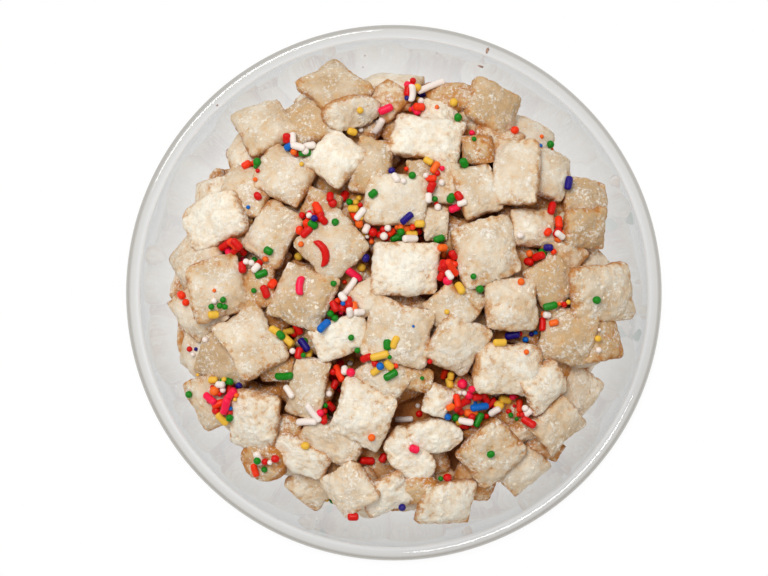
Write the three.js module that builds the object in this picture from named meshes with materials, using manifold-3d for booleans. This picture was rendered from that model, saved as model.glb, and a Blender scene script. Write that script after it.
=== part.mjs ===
// A clear glass mixing bowl heaped with powder-coated cereal squares and sprinkles.
// Millimetres, +Z up. The origin is the middle of the bowl's foot, on the table.
import * as THREE from 'three';
import { mergeVertices } from 'three/addons/utils/BufferGeometryUtils.js';
import Module from 'manifold-3d';

const wasm = await Module();
wasm.setup();

// Bowl: pressed glass, round, with a thick rolled rim and a low foot ring.
const RIM_RADIUS = 76;
const BOWL_HEIGHT = 70;
const MOUTH_RADIUS = 72;
const RIM_BEND = 2.2;
const RIM_ROLL = 1.8;
const LIP_DROP = 1.2;
const WALL = 3;
const FLOOR = 4.2;
const FOOT_RADIUS = 35;
const FOOT_WIDTH = 5;
const FOOT_HEIGHT = 1.6;
const INSIDE_POWER = 3;
const OUTSIDE_POWER = 3.8;
const BOWL_SIDES = 44;
const BED_SIDES = 16;

// Heap: how high its bed stands in the middle and at the glass, before the top squares.
const CROWN = 66;
const SHOULDER = 50;
const SHOULDER_RADIUS = 66;
const SLOPE_POWER = 2.6;
const GLASS_GAP = 0.5;
const BED_INSET = 6;

// Cereal squares: a puffed middle, pinched edges and slightly hollow sides.
const SQUARE_SIZE = 16.5;
const RING_SPACING = 5;
const SMALL_PIECE = 11;
const MOST_PUFF = 8.6;
const CORNER_REACH = 1.3;
const SIDE_PINCH = 0.05;
const SINK = 2;
const STEEPEST = 0.62;
const CLIMB = 1;
const SEEN_FROM = 600;

// Rings of squares at the glass: height, inset of their middles from it, and how far the side
// that shows faces up, in degrees.
const GLASS_RINGS = [[13, 5, -46], [25, 5, -28], [37.5, 5, -12], [50, 11, 38]];

// Sprinkles: short rods and small balls.
const ROD_RADIUS = 1.05;
const BALL_RADIUS = 1.15;
const ROD_LENGTHS = [3.2, 6.4];
const SPRINKLE_SINK = 0.45;

// Squares that show from above, the lowest first: x, y, width, depth and turn in degrees as seen
// from straight above, then how oval the outline is, from 0 for a square to 1.
const TOP_SQUARES = [
  [-36.5, -47.5, 12, 11, 0, 1], [6, -56, 12, 8, 15, 1], [23, -54, 12, 10, -20, 0],
  [43, -44.5, 12, 6, -25, 0], [58, -12.5, 13, 13, 10, 0], [49, 12, 13, 8, -35, 0],
  [30, 42.5, 14, 9, -5, 0], [17, 55.5, 14, 8, 0, 0], [-1.5, 55, 10, 10, 45, 0],
  [21.5, -2.5, 8, 10, -35, 0], [-21, 25, 11, 9, -20, 0], [6.5, -24.5, 10, 7, -15, 0],
  [-33, -22, 10, 7, 0, 0], [-39, 1.5, 12, 13, 10, 0], [-44, 17, 8, 10, 0, 0],
  [-30, -38.5, 8, 7, 0, 1], [36.5, -40, 9, 7, 20, 0], [24, 41, 10, 8, 0, 0],
  [-23.5, 49, 16, 14, 20, 0], [-42, 29, 14, 14, -15, 0], [-54.5, 7, 15, 13, 30, 0],
  [-55, -5, 15, 15, 34, 0], [-48, -19, 16, 13, -15, 0], [-51.5, -31, 15, 12, -65, 0.3],
  [-2.5, -57, 14, 10, 25, 0.3], [-23.5, -56, 13, 11, -48, 0], [15.2, -61, 15.5, 12.5, -5, 0],
  [52, -28.5, 13, 13.5, -30, 0], [49.5, -12.5, 16, 16, -10, 0], [45.5, 3.5, 13, 14, 35, 0],
  [39.5, 18.5, 14, 11, -5, 0], [55, 27, 14, 12, -4, 0], [54, 18, 13, 11, -2, 0],
  [43, 34, 14, 14, -15, 0], [-6.5, 36, 11, 17, -12, 0], [7.5, 35, 8, 6, 0, 0],
  [0.5, 26.5, 18, 14, 0, 0.6], [14.5, 31.5, 8, 12, -10, 0], [-7.5, -1.5, 10, 10, 30, 0],
  [-17.5, 13.5, 17, 17, 42, 0],
  [-36.5, 47, 15, 15, 25, 0.2], [-17.5, 60, 14.5, 16, 40, 0], [-31, 33.5, 16, 15, -28, 0],
  [-50.3, 1.5, 16.3, 17.5, 17, 0], [-18, -42.5, 17, 10, -28, 0.6], [-26, -46.5, 17, 9.5, -30, 0.7],
  [-24.5, -27, 11, 18, -15, 0], [-12.5, -55.3, 13, 13, 35, 0], [4.5, -46.5, 16, 10.5, -45, 0.8],
  [33.5, -3, 16, 15.5, 3, 0], [24, 29, 12, 15, 17, 0], [28, 52.5, 15, 13, -25, 0.2],
  [13, 51, 10, 7, -15, 0], [16, -5, 13, 12, -45, 0], [18, -14.5, 14, 15, -30, 0],
  [32.5, -21.5, 20, 15, -7, 0.2], [46, -37.5, 14, 13, 40, 0], [42.5, -27, 12, 11, 30, 0],
  [-15.5, -12.5, 17, 11, 20, 0.3], [-3, -23.5, 14, 11, -35, 0], [12.5, -31, 8, 9, -20, 0],
  [12, 19.5, 7, 10, 0, 0], [36.5, -51, 13, 12, 40, 0],
  [9, 44, 20, 12.5, -10, 0], [-16.5, 38.3, 14, 14.5, -40, 0], [-12, 51.3, 15.5, 8.5, 10, 1],
  [-34.3, 17, 13, 17, -33, 0], [-50.5, 20.5, 19, 13.5, 20, 0.7], [-41, -14, 15, 19, 32, 0],
  [-39.7, -36.5, 14, 18, -10, 0], [-9, -35, 16.5, 17.5, -25, 0], [27.7, -45.7, 17.5, 15.3, 45, 0],
  [59.5, 0, 19.5, 15.5, 4, 0], [26.5, 12, 18, 18, 16, 0], [35, 34, 13, 19, -3, 0],
  [1.5, -11.5, 19, 18, -14, 0], [3.2, 7, 19.5, 15, -1, 0], [-26, -1, 17, 17.5, -21, 0],
  [11.5, -41, 17, 9.5, -5, 1],
];

// Where sprinkles lie in clusters: x, y, spread and count.
const CLUSTERS = [
  [-4, 18, 9, 7], [-14, -1, 6, 5], [8, 30, 8, 4], [-22, 20, 5, 3], [-42, 9, 6, 4],
  [-48, -29, 5, 6], [22, -31, 6, 6], [34, -33, 5, 3], [3, 54, 6, 3], [-28, 40, 5, 3],
  [15, 8, 4, 3], [-27, -14, 5, 3], [-15, -24, 5, 3], [-3, -19, 4, 3], [43, 14, 5, 3],
  [-20, -35, 5, 2], [-37, -47, 4, 1], [47, -4, 6, 1], [38, -15, 5, 1],
];

// A seeded draw from 0 to 1.
function seeded(seed) {
  let state = seed;
  return () => {
    state = (state + 0x6d2b79f5) | 0;
    let t = Math.imul(state ^ (state >>> 15), 1 | state);
    t = (t + Math.imul(t ^ (t >>> 7), 61 | t)) ^ t;
    return ((t ^ (t >>> 14)) >>> 0) / 4294967296;
  };
}

// The inside of the glass: flat in the middle, then rounding up to an upright wall. Its height at
// a radius and its radius at a height are read along the straight runs between these steps.
const insideDepth = BOWL_HEIGHT - RIM_BEND - FLOOR;
const insideSteps = [0, 0.36, 0.56, 0.71, 0.83, 0.91, 0.965, 1].map((share) => ({
  radius: MOUTH_RADIUS * share,
  height: FLOOR + insideDepth * (1 - Math.sqrt(1 - share ** INSIDE_POWER)),
}));
function alongInside(known, wanted, value) {
  const last = insideSteps.length - 1;
  const found = insideSteps.findIndex((step) => step[known] >= value);
  const next = Math.max(1, found < 0 ? last : found);
  const [a, b] = [insideSteps[next - 1], insideSteps[next]];
  const share = Math.min(1, Math.max(0, (value - a[known]) / (b[known] - a[known])));
  return a[wanted] + (b[wanted] - a[wanted]) * share;
}
const insideHeight = (radius) => alongInside('radius', 'height', radius);
const insideRadius = (height) => alongInside('height', 'radius', height);

// An arc of a profile, from one angle to another.
function arc(x, y, radius, from, to, steps) {
  const points = [];
  for (let i = 0; i <= steps; i += 1) {
    const angle = from + ((to - from) * i) / steps;
    points.push(new THREE.Vector2(x + radius * Math.cos(angle), y + radius * Math.sin(angle)));
  }
  return points;
}

// Turns a profile of radius and height about +Z.
function turned(profile, sides) {
  return new THREE.LatheGeometry(profile, sides).rotateX(Math.PI / 2);
}

// Profile of the bowl, from the middle of the foot up the outside, over the rim and down inside.
function bowlProfile() {
  const outer = MOUTH_RADIUS + WALL;
  const lip = BOWL_HEIGHT - RIM_ROLL - LIP_DROP;
  const footIn = FOOT_RADIUS - FOOT_WIDTH;
  const profile = [
    new THREE.Vector2(0, FOOT_HEIGHT),
    new THREE.Vector2(footIn - 1, FOOT_HEIGHT),
    new THREE.Vector2(footIn + 1, 0),
    new THREE.Vector2(FOOT_RADIUS - 1, 0),
    new THREE.Vector2(FOOT_RADIUS, 1),
  ];
  const rise = lip - 1.6 - FOOT_HEIGHT;
  for (const share of [0.52, 0.66, 0.78, 0.87, 0.94, 0.98, 1]) {
    const height = FOOT_HEIGHT + rise * (1 - Math.sqrt(1 - share ** OUTSIDE_POWER));
    profile.push(new THREE.Vector2(outer * share, height));
  }
  profile.push(new THREE.Vector2(RIM_RADIUS, lip));
  profile.push(...arc(RIM_RADIUS - RIM_ROLL, BOWL_HEIGHT - RIM_ROLL, RIM_ROLL, 0, Math.PI / 2, 3));
  const bend = arc(MOUTH_RADIUS + RIM_BEND, BOWL_HEIGHT - RIM_BEND, RIM_BEND, Math.PI / 2, Math.PI, 3);
  profile.push(...bend.slice(1, -1));
  for (const step of [...insideSteps].reverse()) {
    profile.push(new THREE.Vector2(step.radius, step.height));
  }
  return profile;
}

// A closed solid from a geometry, with its shared corners merged.
function solidFrom(geometry) {
  const bare = geometry.clone();
  bare.deleteAttribute('normal');
  bare.deleteAttribute('uv');
  const merged = mergeVertices(bare, 1e-4);
  return new wasm.Manifold(new wasm.Mesh({
    numProp: 3,
    vertProperties: merged.attributes.position.array,
    triVerts: new Uint32Array(merged.index.array),
  }));
}

function geometryFrom(solid) {
  const mesh = solid.getMesh();
  const geometry = new THREE.BufferGeometry();
  geometry.setAttribute('position', new THREE.BufferAttribute(mesh.vertProperties, 3));
  geometry.setIndex(new THREE.BufferAttribute(mesh.triVerts, 1));
  geometry.computeVertexNormals();
  return geometry;
}

// The bed: what lies under the squares that show, domed, and inset from the glass by about a
// square's thickness. Its top is read at a radius; past its edge lie only squares at the glass.
const bedEdge = { height: SHOULDER - 5, radius: insideRadius(SHOULDER - 7) - BED_INSET };
const bedTop = [0, 0.3, 0.6, 0.86].map((share) => {
  const radius = bedEdge.radius * share;
  const fall = (radius / SHOULDER_RADIUS) ** SLOPE_POWER;
  return { radius, height: CROWN - (CROWN - SHOULDER) * fall };
}).concat(bedEdge);
function bedHeight(radius) {
  const next = bedTop.findIndex((step) => step.radius > radius);
  if (next < 0) return bedEdge.height;
  const [a, b] = [bedTop[next - 1], bedTop[next]];
  return a.height + ((b.height - a.height) * (radius - a.radius)) / (b.radius - a.radius);
}
function bedProfile() {
  const profile = [new THREE.Vector2(0, FLOOR + BED_INSET)];
  for (const share of [0.12, 0.4, 0.7]) {
    const height = FLOOR + BED_INSET + (bedEdge.height - FLOOR - BED_INSET) * share;
    profile.push(new THREE.Vector2(insideRadius(height - 2) - BED_INSET, height));
  }
  profile.push(...[...bedTop].reverse().map((step) => new THREE.Vector2(step.radius, step.height)));
  return profile;
}

// A profile turned about z in a few sides, as one closed skin.
function faceted(profile, sides) {
  const turnedSkin = new THREE.LatheGeometry(profile.map(([x, y]) => new THREE.Vector2(x, y)), sides);
  turnedSkin.rotateX(Math.PI / 2);
  turnedSkin.deleteAttribute('normal');
  turnedSkin.deleteAttribute('uv');
  return mergeVertices(turnedSkin, 1e-4);
}

// A cereal square lying flat: its sides drawn out to corners, a thin edge and a puffed middle.
function cerealSquare(width, depth, puff, oval, sides, random) {
  const square = faceted([[0, -0.5], [1, 0], [0.68, 0.36], [0, 0.5]], sides);
  square.rotateZ(sides === 4 ? Math.PI / 4 : 0);
  const place = square.attributes.position;
  const skew = 0.1 * (random() - 0.5);
  for (let i = 0; i < place.count; i += 1) {
    const x = place.getX(i);
    const y = place.getY(i);
    const flat = Math.max(1e-6, Math.hypot(x, y));
    const corner = Math.abs((2 * x * y) / (flat * flat));
    const drawn = 1 - SIDE_PINCH + (CORNER_REACH - 1 + SIDE_PINCH) * corner;
    const reach = (1 - oval) * drawn + oval * (1 + 0.05 * corner);
    const jitter = 1 + 0.07 * (random() - 0.5);
    const lift = flat > 0.1 ? 1.1 - 0.25 * corner : 1;
    const [wide, deep] = [(width / 2) * reach * jitter, (depth / 2) * reach * jitter];
    place.setXYZ(i, wide * (x + skew * y), deep * y, puff * lift * place.getZ(i));
  }
  return square;
}

// A short rod with blunt ends along x, or a ball when it has no length.
function sprinkle(radius, length) {
  const skin = new THREE.SphereGeometry(radius, 5, 3).rotateZ(-Math.PI / 2);
  skin.deleteAttribute('normal');
  skin.deleteAttribute('uv');
  const merged = mergeVertices(skin, 1e-4);
  const place = merged.attributes.position;
  const half = Math.max(0, length / 2 - radius);
  for (let i = 0; i < place.count; i += 1) {
    place.setX(i, place.getX(i) + Math.sign(place.getX(i)) * half);
  }
  return merged;
}

// A relief of the heap's surface on a square grid, on which each piece is set down in turn.
const CELL = 0.5;
const REACH = 78;
const ROW = Math.round((2 * REACH) / CELL) + 1;
const relief = new Float32Array(ROW * ROW);
for (let j = 0; j < ROW; j += 1) {
  for (let i = 0; i < ROW; i += 1) {
    const radius = Math.hypot(i * CELL - REACH, j * CELL - REACH);
    relief[j * ROW + i] = bedHeight(radius);
  }
}

// Calls visit(cell, height) for each grid cell under the faces that look up, or down.
function overFaces(geometry, up, visit) {
  const place = geometry.attributes.position;
  const index = geometry.index.array;
  for (let k = 0; k < index.length; k += 3) {
    const [a, b, c] = [index[k], index[k + 1], index[k + 2]];
    const [ax, ay, az] = [place.getX(a), place.getY(a), place.getZ(a)];
    const [bx, by, bz] = [place.getX(b), place.getY(b), place.getZ(b)];
    const [cx, cy, cz] = [place.getX(c), place.getY(c), place.getZ(c)];
    const area = (bx - ax) * (cy - ay) - (by - ay) * (cx - ax);
    if (Math.abs(area) < 1e-9 || area > 0 !== up) continue;
    const low = [Math.min(ax, bx, cx), Math.min(ay, by, cy)].map((v) => Math.ceil((v + REACH) / CELL));
    const high = [Math.max(ax, bx, cx), Math.max(ay, by, cy)].map((v) => Math.floor((v + REACH) / CELL));
    for (let j = Math.max(0, low[1]); j <= Math.min(ROW - 1, high[1]); j += 1) {
      for (let i = Math.max(0, low[0]); i <= Math.min(ROW - 1, high[0]); i += 1) {
        const x = i * CELL - REACH;
        const y = j * CELL - REACH;
        const u = ((bx - x) * (cy - y) - (by - y) * (cx - x)) / area;
        const v = ((cx - x) * (ay - y) - (cy - y) * (ax - x)) / area;
        const w = 1 - u - v;
        if (u < 0 || v < 0 || w < 0) continue;
        visit(j * ROW + i, u * az + v * bz + w * cz);
      }
    }
  }
}

// The slope of the relief under a disc, as rise along x and y, held below the steepest rest.
function slopeUnder(x, y, radius) {
  let [count, sx, sy, sz, sxx, syy, sxy, sxz, syz] = [0, 0, 0, 0, 0, 0, 0, 0, 0];
  for (let v = -radius; v <= radius; v += 2 * CELL) {
    for (let u = -radius; u <= radius; u += 2 * CELL) {
      if (u * u + v * v > radius * radius) continue;
      const i = Math.round((x + u + REACH) / CELL);
      const j = Math.round((y + v + REACH) / CELL);
      if (i < 0 || j < 0 || i >= ROW || j >= ROW) continue;
      const z = relief[j * ROW + i];
      count += 1;
      sx += u;
      sy += v;
      sz += z;
      sxx += u * u;
      syy += v * v;
      sxy += u * v;
      sxz += u * z;
      syz += v * z;
    }
  }
  const [a, b, c] = [sxx - (sx * sx) / count, syy - (sy * sy) / count, sxy - (sx * sy) / count];
  const [d, e] = [sxz - (sx * sz) / count, syz - (sy * sz) / count];
  const det = a * b - c * c;
  const slope = new THREE.Vector2((d * b - e * c) / det, (e * a - d * c) / det);
  return slope.clampLength(0, STEEPEST);
}

// Turns a piece about z, then leans its upright to a normal.
function lean(geometry, turn, normal) {
  const upright = new THREE.Vector3(0, 0, 1);
  geometry.rotateZ(turn);
  geometry.applyQuaternion(new THREE.Quaternion().setFromUnitVectors(upright, normal.clone().normalize()));
  return geometry;
}

// How far a piece reaches into the glass, and the way back: inward, and up as far as it is told.
function crossing(geometry) {
  const place = geometry.attributes.position;
  let most = 0;
  for (let i = 0; i < place.count; i += 1) {
    const room = insideRadius(place.getZ(i)) - GLASS_GAP;
    most = Math.max(most, Math.hypot(place.getX(i), place.getY(i)) - room);
  }
  return most;
}
function pulledIn(geometry, x, y, rise) {
  const radius = Math.hypot(x, y) || 1;
  for (let step = 0; step < 12; step += 1) {
    const most = crossing(geometry);
    if (most <= 0.01) break;
    const pull = most / (1 + 0.25 * rise);
    geometry.translate((-x / radius) * pull, (-y / radius) * pull, rise * pull);
  }
  return geometry;
}

// Sets a piece down on the relief and lets the relief take its shape.
function settle(geometry, sink) {
  let lift = -Infinity;
  overFaces(geometry, false, (cell, z) => {
    lift = Math.max(lift, relief[cell] - z);
  });
  geometry.translate(0, 0, lift - sink);
  return geometry;
}
function deposit(geometry) {
  overFaces(geometry, true, (cell, z) => {
    relief[cell] = Math.max(relief[cell], z);
  });
}

function puffOf(width, depth) {
  return Math.min(MOST_PUFF, 2.2 + 0.38 * Math.min(width, depth));
}

// The squares on top. A place seen from above lies a little further out where the heap is lower.
function topSquares(random) {
  return TOP_SQUARES.map(([seenX, seenY, width, depth, turn, oval]) => {
    const drop = BOWL_HEIGHT - bedHeight(Math.hypot(seenX, seenY)) - MOST_PUFF;
    const out = 1 + drop / SEEN_FROM;
    const [x, y] = [seenX * out, seenY * out];
    const slope = slopeUnder(x, y, Math.min(width, depth) * 0.45);
    const stretch = Math.sqrt(1 + slope.lengthSq() / 2);
    const puff = puffOf(width, depth);
    const sides = Math.min(width, depth) < SMALL_PIECE ? 6 : 8;
    const piece = cerealSquare(width * stretch, depth * stretch, puff, oval, sides, random);
    lean(piece, (turn * Math.PI) / 180, new THREE.Vector3(-slope.x, -slope.y, 1));
    piece.translate(x, y, 0);
    settle(piece, SINK);
    pulledIn(piece, x, y, CLIMB);
    settle(piece, SINK);
    pulledIn(piece, x, y, 0);
    deposit(piece);
    return piece;
  });
}

// The squares that lie against the glass, in rings up the wall, and those on the floor.
function glassSquares(random) {
  const pieces = [];
  for (const [height, inset, facing] of GLASS_RINGS) {
    const ring = insideRadius(height) - inset;
    const count = Math.floor((2 * Math.PI * ring) / (SQUARE_SIZE + RING_SPACING));
    for (let i = 0; i < count; i += 1) {
      const angle = ((i + 0.4 * random()) / count) * 2 * Math.PI;
      const size = SQUARE_SIZE * (0.88 + 0.24 * random());
      const depth = size * (0.85 + 0.15 * random());
      const piece = cerealSquare(size, depth, puffOf(size, depth), 0, 4, random);
      const tilt = (facing * Math.PI) / 180 + 0.5 * (random() - 0.5);
      const turn = angle + 0.5 * (random() - 0.5);
      const away = Math.cos(tilt);
      const facingOut = new THREE.Vector3(away * Math.cos(turn), away * Math.sin(turn), Math.sin(tilt));
      lean(piece, random() * Math.PI, facingOut);
      const [x, y] = [ring * Math.cos(angle), ring * Math.sin(angle)];
      piece.translate(x, y, height + 2.4 * (random() - 0.5));
      pulledIn(piece, x, y, 0.25);
      deposit(piece);
      pieces.push(piece);
    }
  }
  for (const [ring, count] of [[0, 1], [21, 7]]) {
    for (let i = 0; i < count; i += 1) {
      const angle = ((i + 0.2 * random()) / count) * 2 * Math.PI;
      const size = SQUARE_SIZE * (0.9 + 0.15 * random());
      const piece = cerealSquare(size, size * 0.95, puffOf(size, size), 0, 4, random);
      lean(piece, random() * Math.PI, new THREE.Vector3(0.1 * random(), 0.1 * random(), 1));
      const [x, y] = [ring * Math.cos(angle), ring * Math.sin(angle)];
      piece.translate(x, y, 0);
      const place = piece.attributes.position;
      let lift = -Infinity;
      for (let k = 0; k < place.count; k += 1) {
        const floor = insideHeight(Math.hypot(place.getX(k), place.getY(k)));
        lift = Math.max(lift, floor + GLASS_GAP - place.getZ(k));
      }
      pieces.push(piece.translate(0, 0, lift));
    }
  }
  return pieces;
}

// Sprinkles, in clusters, each sunk a little into what it lies on.
function sprinkles(random) {
  const pieces = [];
  for (const [middleX, middleY, spread, count] of CLUSTERS) {
    for (let i = 0; i < count; i += 1) {
      const angle = random() * 2 * Math.PI;
      const away = spread * Math.sqrt(random());
      const [x, y] = [middleX + away * Math.cos(angle), middleY + away * Math.sin(angle)];
      const isBall = random() < 0.4;
      const length = ROD_LENGTHS[0] + (ROD_LENGTHS[1] - ROD_LENGTHS[0]) * random();
      const piece = isBall ? sprinkle(BALL_RADIUS, 0) : sprinkle(ROD_RADIUS, length);
      const slope = slopeUnder(x, y, isBall ? 1.2 : length / 2);
      lean(piece, random() * Math.PI, new THREE.Vector3(-slope.x, -slope.y, 1));
      piece.translate(x, y, 0);
      settle(piece, SPRINKLE_SINK);
      if (crossing(piece) > 0) continue;
      deposit(piece);
      pieces.push(piece);
    }
  }
  return pieces;
}

// The heap as one body: any sealed hollow filled and any loose scrap dropped.
function heapSolid() {
  const random = seeded(7);
  const pieces = [turned(bedProfile(), BED_SIDES), ...glassSquares(random), ...topSquares(random)];
  pieces.push(...sprinkles(random));
  let heap = solidFrom(pieces[0]);
  for (const piece of pieces.slice(1)) {
    heap = heap.add(solidFrom(piece));
  }
  const largest = (a, b) => (a.volume() > b.volume() ? a : b);
  return heap.simplify(0.06).decompose().reduce(largest);
}

const glass = new THREE.MeshStandardMaterial({ color: 0xdfe2e0, roughness: 0.05, metalness: 0 });
const powderedCereal = new THREE.MeshStandardMaterial({ color: 0xeadfc9, roughness: 0.9, metalness: 0 });

const bowl = new THREE.Mesh(turned(bowlProfile(), BOWL_SIDES), glass);
bowl.name = 'bowl';

const heap = new THREE.Mesh(geometryFrom(heapSolid()), powderedCereal);
heap.name = 'puppy_chow';

const group = new THREE.Group();
group.add(bowl, heap);

export default group;
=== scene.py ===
import itertools
import math

import bpy
import numpy as np
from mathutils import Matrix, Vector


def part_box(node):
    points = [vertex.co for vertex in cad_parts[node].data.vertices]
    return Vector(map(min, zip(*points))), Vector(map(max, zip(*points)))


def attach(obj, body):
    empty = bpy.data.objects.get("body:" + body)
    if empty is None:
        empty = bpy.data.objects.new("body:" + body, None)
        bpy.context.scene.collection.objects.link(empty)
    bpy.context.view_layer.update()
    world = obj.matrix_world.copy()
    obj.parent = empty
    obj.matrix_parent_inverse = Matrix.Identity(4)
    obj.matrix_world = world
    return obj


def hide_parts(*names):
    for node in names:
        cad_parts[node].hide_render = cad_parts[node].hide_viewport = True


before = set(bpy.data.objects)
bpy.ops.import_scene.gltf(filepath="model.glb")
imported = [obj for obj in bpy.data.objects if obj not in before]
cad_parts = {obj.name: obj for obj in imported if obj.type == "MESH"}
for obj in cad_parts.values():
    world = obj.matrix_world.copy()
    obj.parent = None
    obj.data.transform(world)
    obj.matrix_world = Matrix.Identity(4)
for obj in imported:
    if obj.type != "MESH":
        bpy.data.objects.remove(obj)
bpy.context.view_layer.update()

# Glass bowl
# A pressed mixing bowl of clear soda glass: thin upright wall, thick rolled rim and a low foot
# ring. It was pressed and fire-polished, so its faces are smooth and its edges are all rounded.
MM = 0.001
RIM_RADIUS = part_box("bowl")[1][0] / MM
BOWL_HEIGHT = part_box("bowl")[1][2] / MM
MOUTH_RADIUS = RIM_RADIUS - 4
RIM_BEND = 2.2
RIM_ROLL = 1.8
WALL = 3
FLOOR = 4.2
FOOT_RADIUS = 35
FOOT_WIDTH = 5
FOOT_HEIGHT = 1.6
FOOT_ROUND = 0.8
FOOT_EDGE = 1.2
LIP_DROP = 1.2
LIP_ROUND = 1
LIP_ROOM = 1.6
INSIDE_POWER = 3
OUTSIDE_POWER = 3.8
INSIDE_DEPTH = BOWL_HEIGHT - RIM_BEND - FLOOR
BOWL_SIDES = 192
# Heights between which the thick glass of the foot passes into the thin wall, and radii between
# which the rolled rim turns greyer: partly its thicker glass, partly painted shade for the darker
# things the thick roll would bend into view.
WALL_STARTS = (6, 9)
ROLL_STARTS = (74.3, 75.3)


def inside_height(radius):
    """Height of the glass inside at a radius."""
    share = np.clip(np.asarray(radius, float) / MOUTH_RADIUS, 0, 1)
    return FLOOR + INSIDE_DEPTH * (1 - np.sqrt(1 - share**INSIDE_POWER))


def inside_radius(height):
    """Radius of the glass inside at a height."""
    left = 1 - np.clip((np.asarray(height, float) - FLOOR) / INSIDE_DEPTH, 0, 1)
    return MOUTH_RADIUS * (1 - left**2) ** (1 / INSIDE_POWER)


def arc(x, y, radius, start, end, steps):
    """Points of an arc in a profile, angles in degrees."""
    angles = np.radians(np.linspace(start, end, steps))
    return np.stack([x + radius * np.cos(angles), y + radius * np.sin(angles)], 1)


def mesh_piece(name, points, faces, material, smooth=True, values=None):
    """A mesh object from points in millimetres. values holds numbers for the points, by name."""
    mesh = bpy.data.meshes.new(name)
    mesh.from_pydata((np.asarray(points) * MM).tolist(), [], [list(map(int, face)) for face in faces])
    for key, numbers in (values or {}).items():
        layer = mesh.attributes.new(key, "FLOAT", "POINT")
        layer.data.foreach_set("value", np.asarray(numbers, np.float32))
    mesh.polygons.foreach_set("use_smooth", [smooth] * len(mesh.polygons))
    mesh.materials.append(material)
    mesh.update()
    piece = bpy.data.objects.new(name, mesh)
    bpy.context.scene.collection.objects.link(piece)
    return piece


def turned(profile, sides):
    """Points and faces of a profile turned about the axis. Its first and last points lie on the axis."""
    body = profile[1:-1]
    angles = np.linspace(0, 2 * math.pi, sides, endpoint=False)
    ring = np.stack([np.cos(angles), np.sin(angles)], 1)
    points = [[0, 0, profile[0][1]], [0, 0, profile[-1][1]]]
    for radius, height in body:
        points.extend(np.column_stack([ring * radius, np.full(sides, height)]).tolist())
    faces = []
    for side in range(sides):
        after = (side + 1) % sides
        faces.append([0, 2 + after, 2 + side])
        for row in range(len(body) - 1):
            base = 2 + row * sides
            faces.append([base + side, base + after, base + sides + after, base + sides + side])
        last = 2 + (len(body) - 1) * sides
        faces.append([1, last + side, last + after])
    return points, faces


def linear(colour):
    """A colour written as six hex digits, as linear RGBA."""
    parts = [int(colour[i : i + 2], 16) / 255 for i in (0, 2, 4)]
    return [c / 12.92 if c <= 0.04045 else ((c + 0.055) / 1.055) ** 2.4 for c in parts] + [1]


def add(tree, kind, links=None, **settings):
    """Adds a node. settings are its properties, and links give each input socket a value, an
    output, or a node, which stands for its first output that is in use."""
    made = tree.nodes.new(kind)
    for key, value in settings.items():
        setattr(made, key, value)
    for key, value in (links or {}).items():
        if isinstance(value, bpy.types.Node):
            value = next(output for output in value.outputs if output.enabled)
        if isinstance(value, bpy.types.NodeSocket):
            tree.links.new(value, made.inputs[key])
        else:
            made.inputs[key].default_value = value
    return made


def new_material(name):
    """An empty node material and its tree."""
    material = bpy.data.materials.new(name)
    material.use_nodes = True
    material.node_tree.nodes.clear()
    return material, material.node_tree


def bowl_profile():
    """Outline of the glass, from the middle underneath, over the rim, to the middle inside."""
    outer = MOUTH_RADIUS + WALL
    lip = BOWL_HEIGHT - RIM_ROLL - LIP_DROP
    foot_in = FOOT_RADIUS - FOOT_WIDTH
    foot = [
        [[0, FOOT_HEIGHT]],
        [[foot_in * s, FOOT_HEIGHT] for s in (0.3, 0.6, 0.9)],
        arc(foot_in, FOOT_HEIGHT - FOOT_ROUND, FOOT_ROUND, 90, 0, 5),
        arc(foot_in + 2 * FOOT_ROUND, FOOT_ROUND, FOOT_ROUND, 180, 270, 5),
        arc(FOOT_RADIUS - FOOT_EDGE, FOOT_EDGE, FOOT_EDGE, 270, 360, 6),
    ]
    share = np.concatenate([np.linspace(0.5, 0.9, 26), np.linspace(0.91, 1, 26)])
    rise = lip - LIP_ROOM - FOOT_HEIGHT
    side_heights = FOOT_HEIGHT + rise * (1 - np.sqrt(1 - share**OUTSIDE_POWER))
    side = np.stack([outer * share, side_heights], 1)
    under_lip = arc(outer + LIP_ROUND, side[-1][1] + 0.2, LIP_ROUND, 180, 90, 5)
    rim = arc(RIM_RADIUS - RIM_ROLL, BOWL_HEIGHT - RIM_ROLL, RIM_ROLL, -20, 90, 12)
    bend = arc(MOUTH_RADIUS + RIM_BEND, BOWL_HEIGHT - RIM_BEND, RIM_BEND, 90, 180, 12)
    angles = np.linspace(math.pi / 2, 0, 70)[1:]
    radii = MOUTH_RADIUS * np.sin(angles) ** (2 / 3)
    inner = np.stack([radii, inside_height(radii)], 1)
    return np.concatenate([*foot, side[side[:, 0] > FOOT_RADIUS], under_lip, rim, bend[1:], inner])


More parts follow.
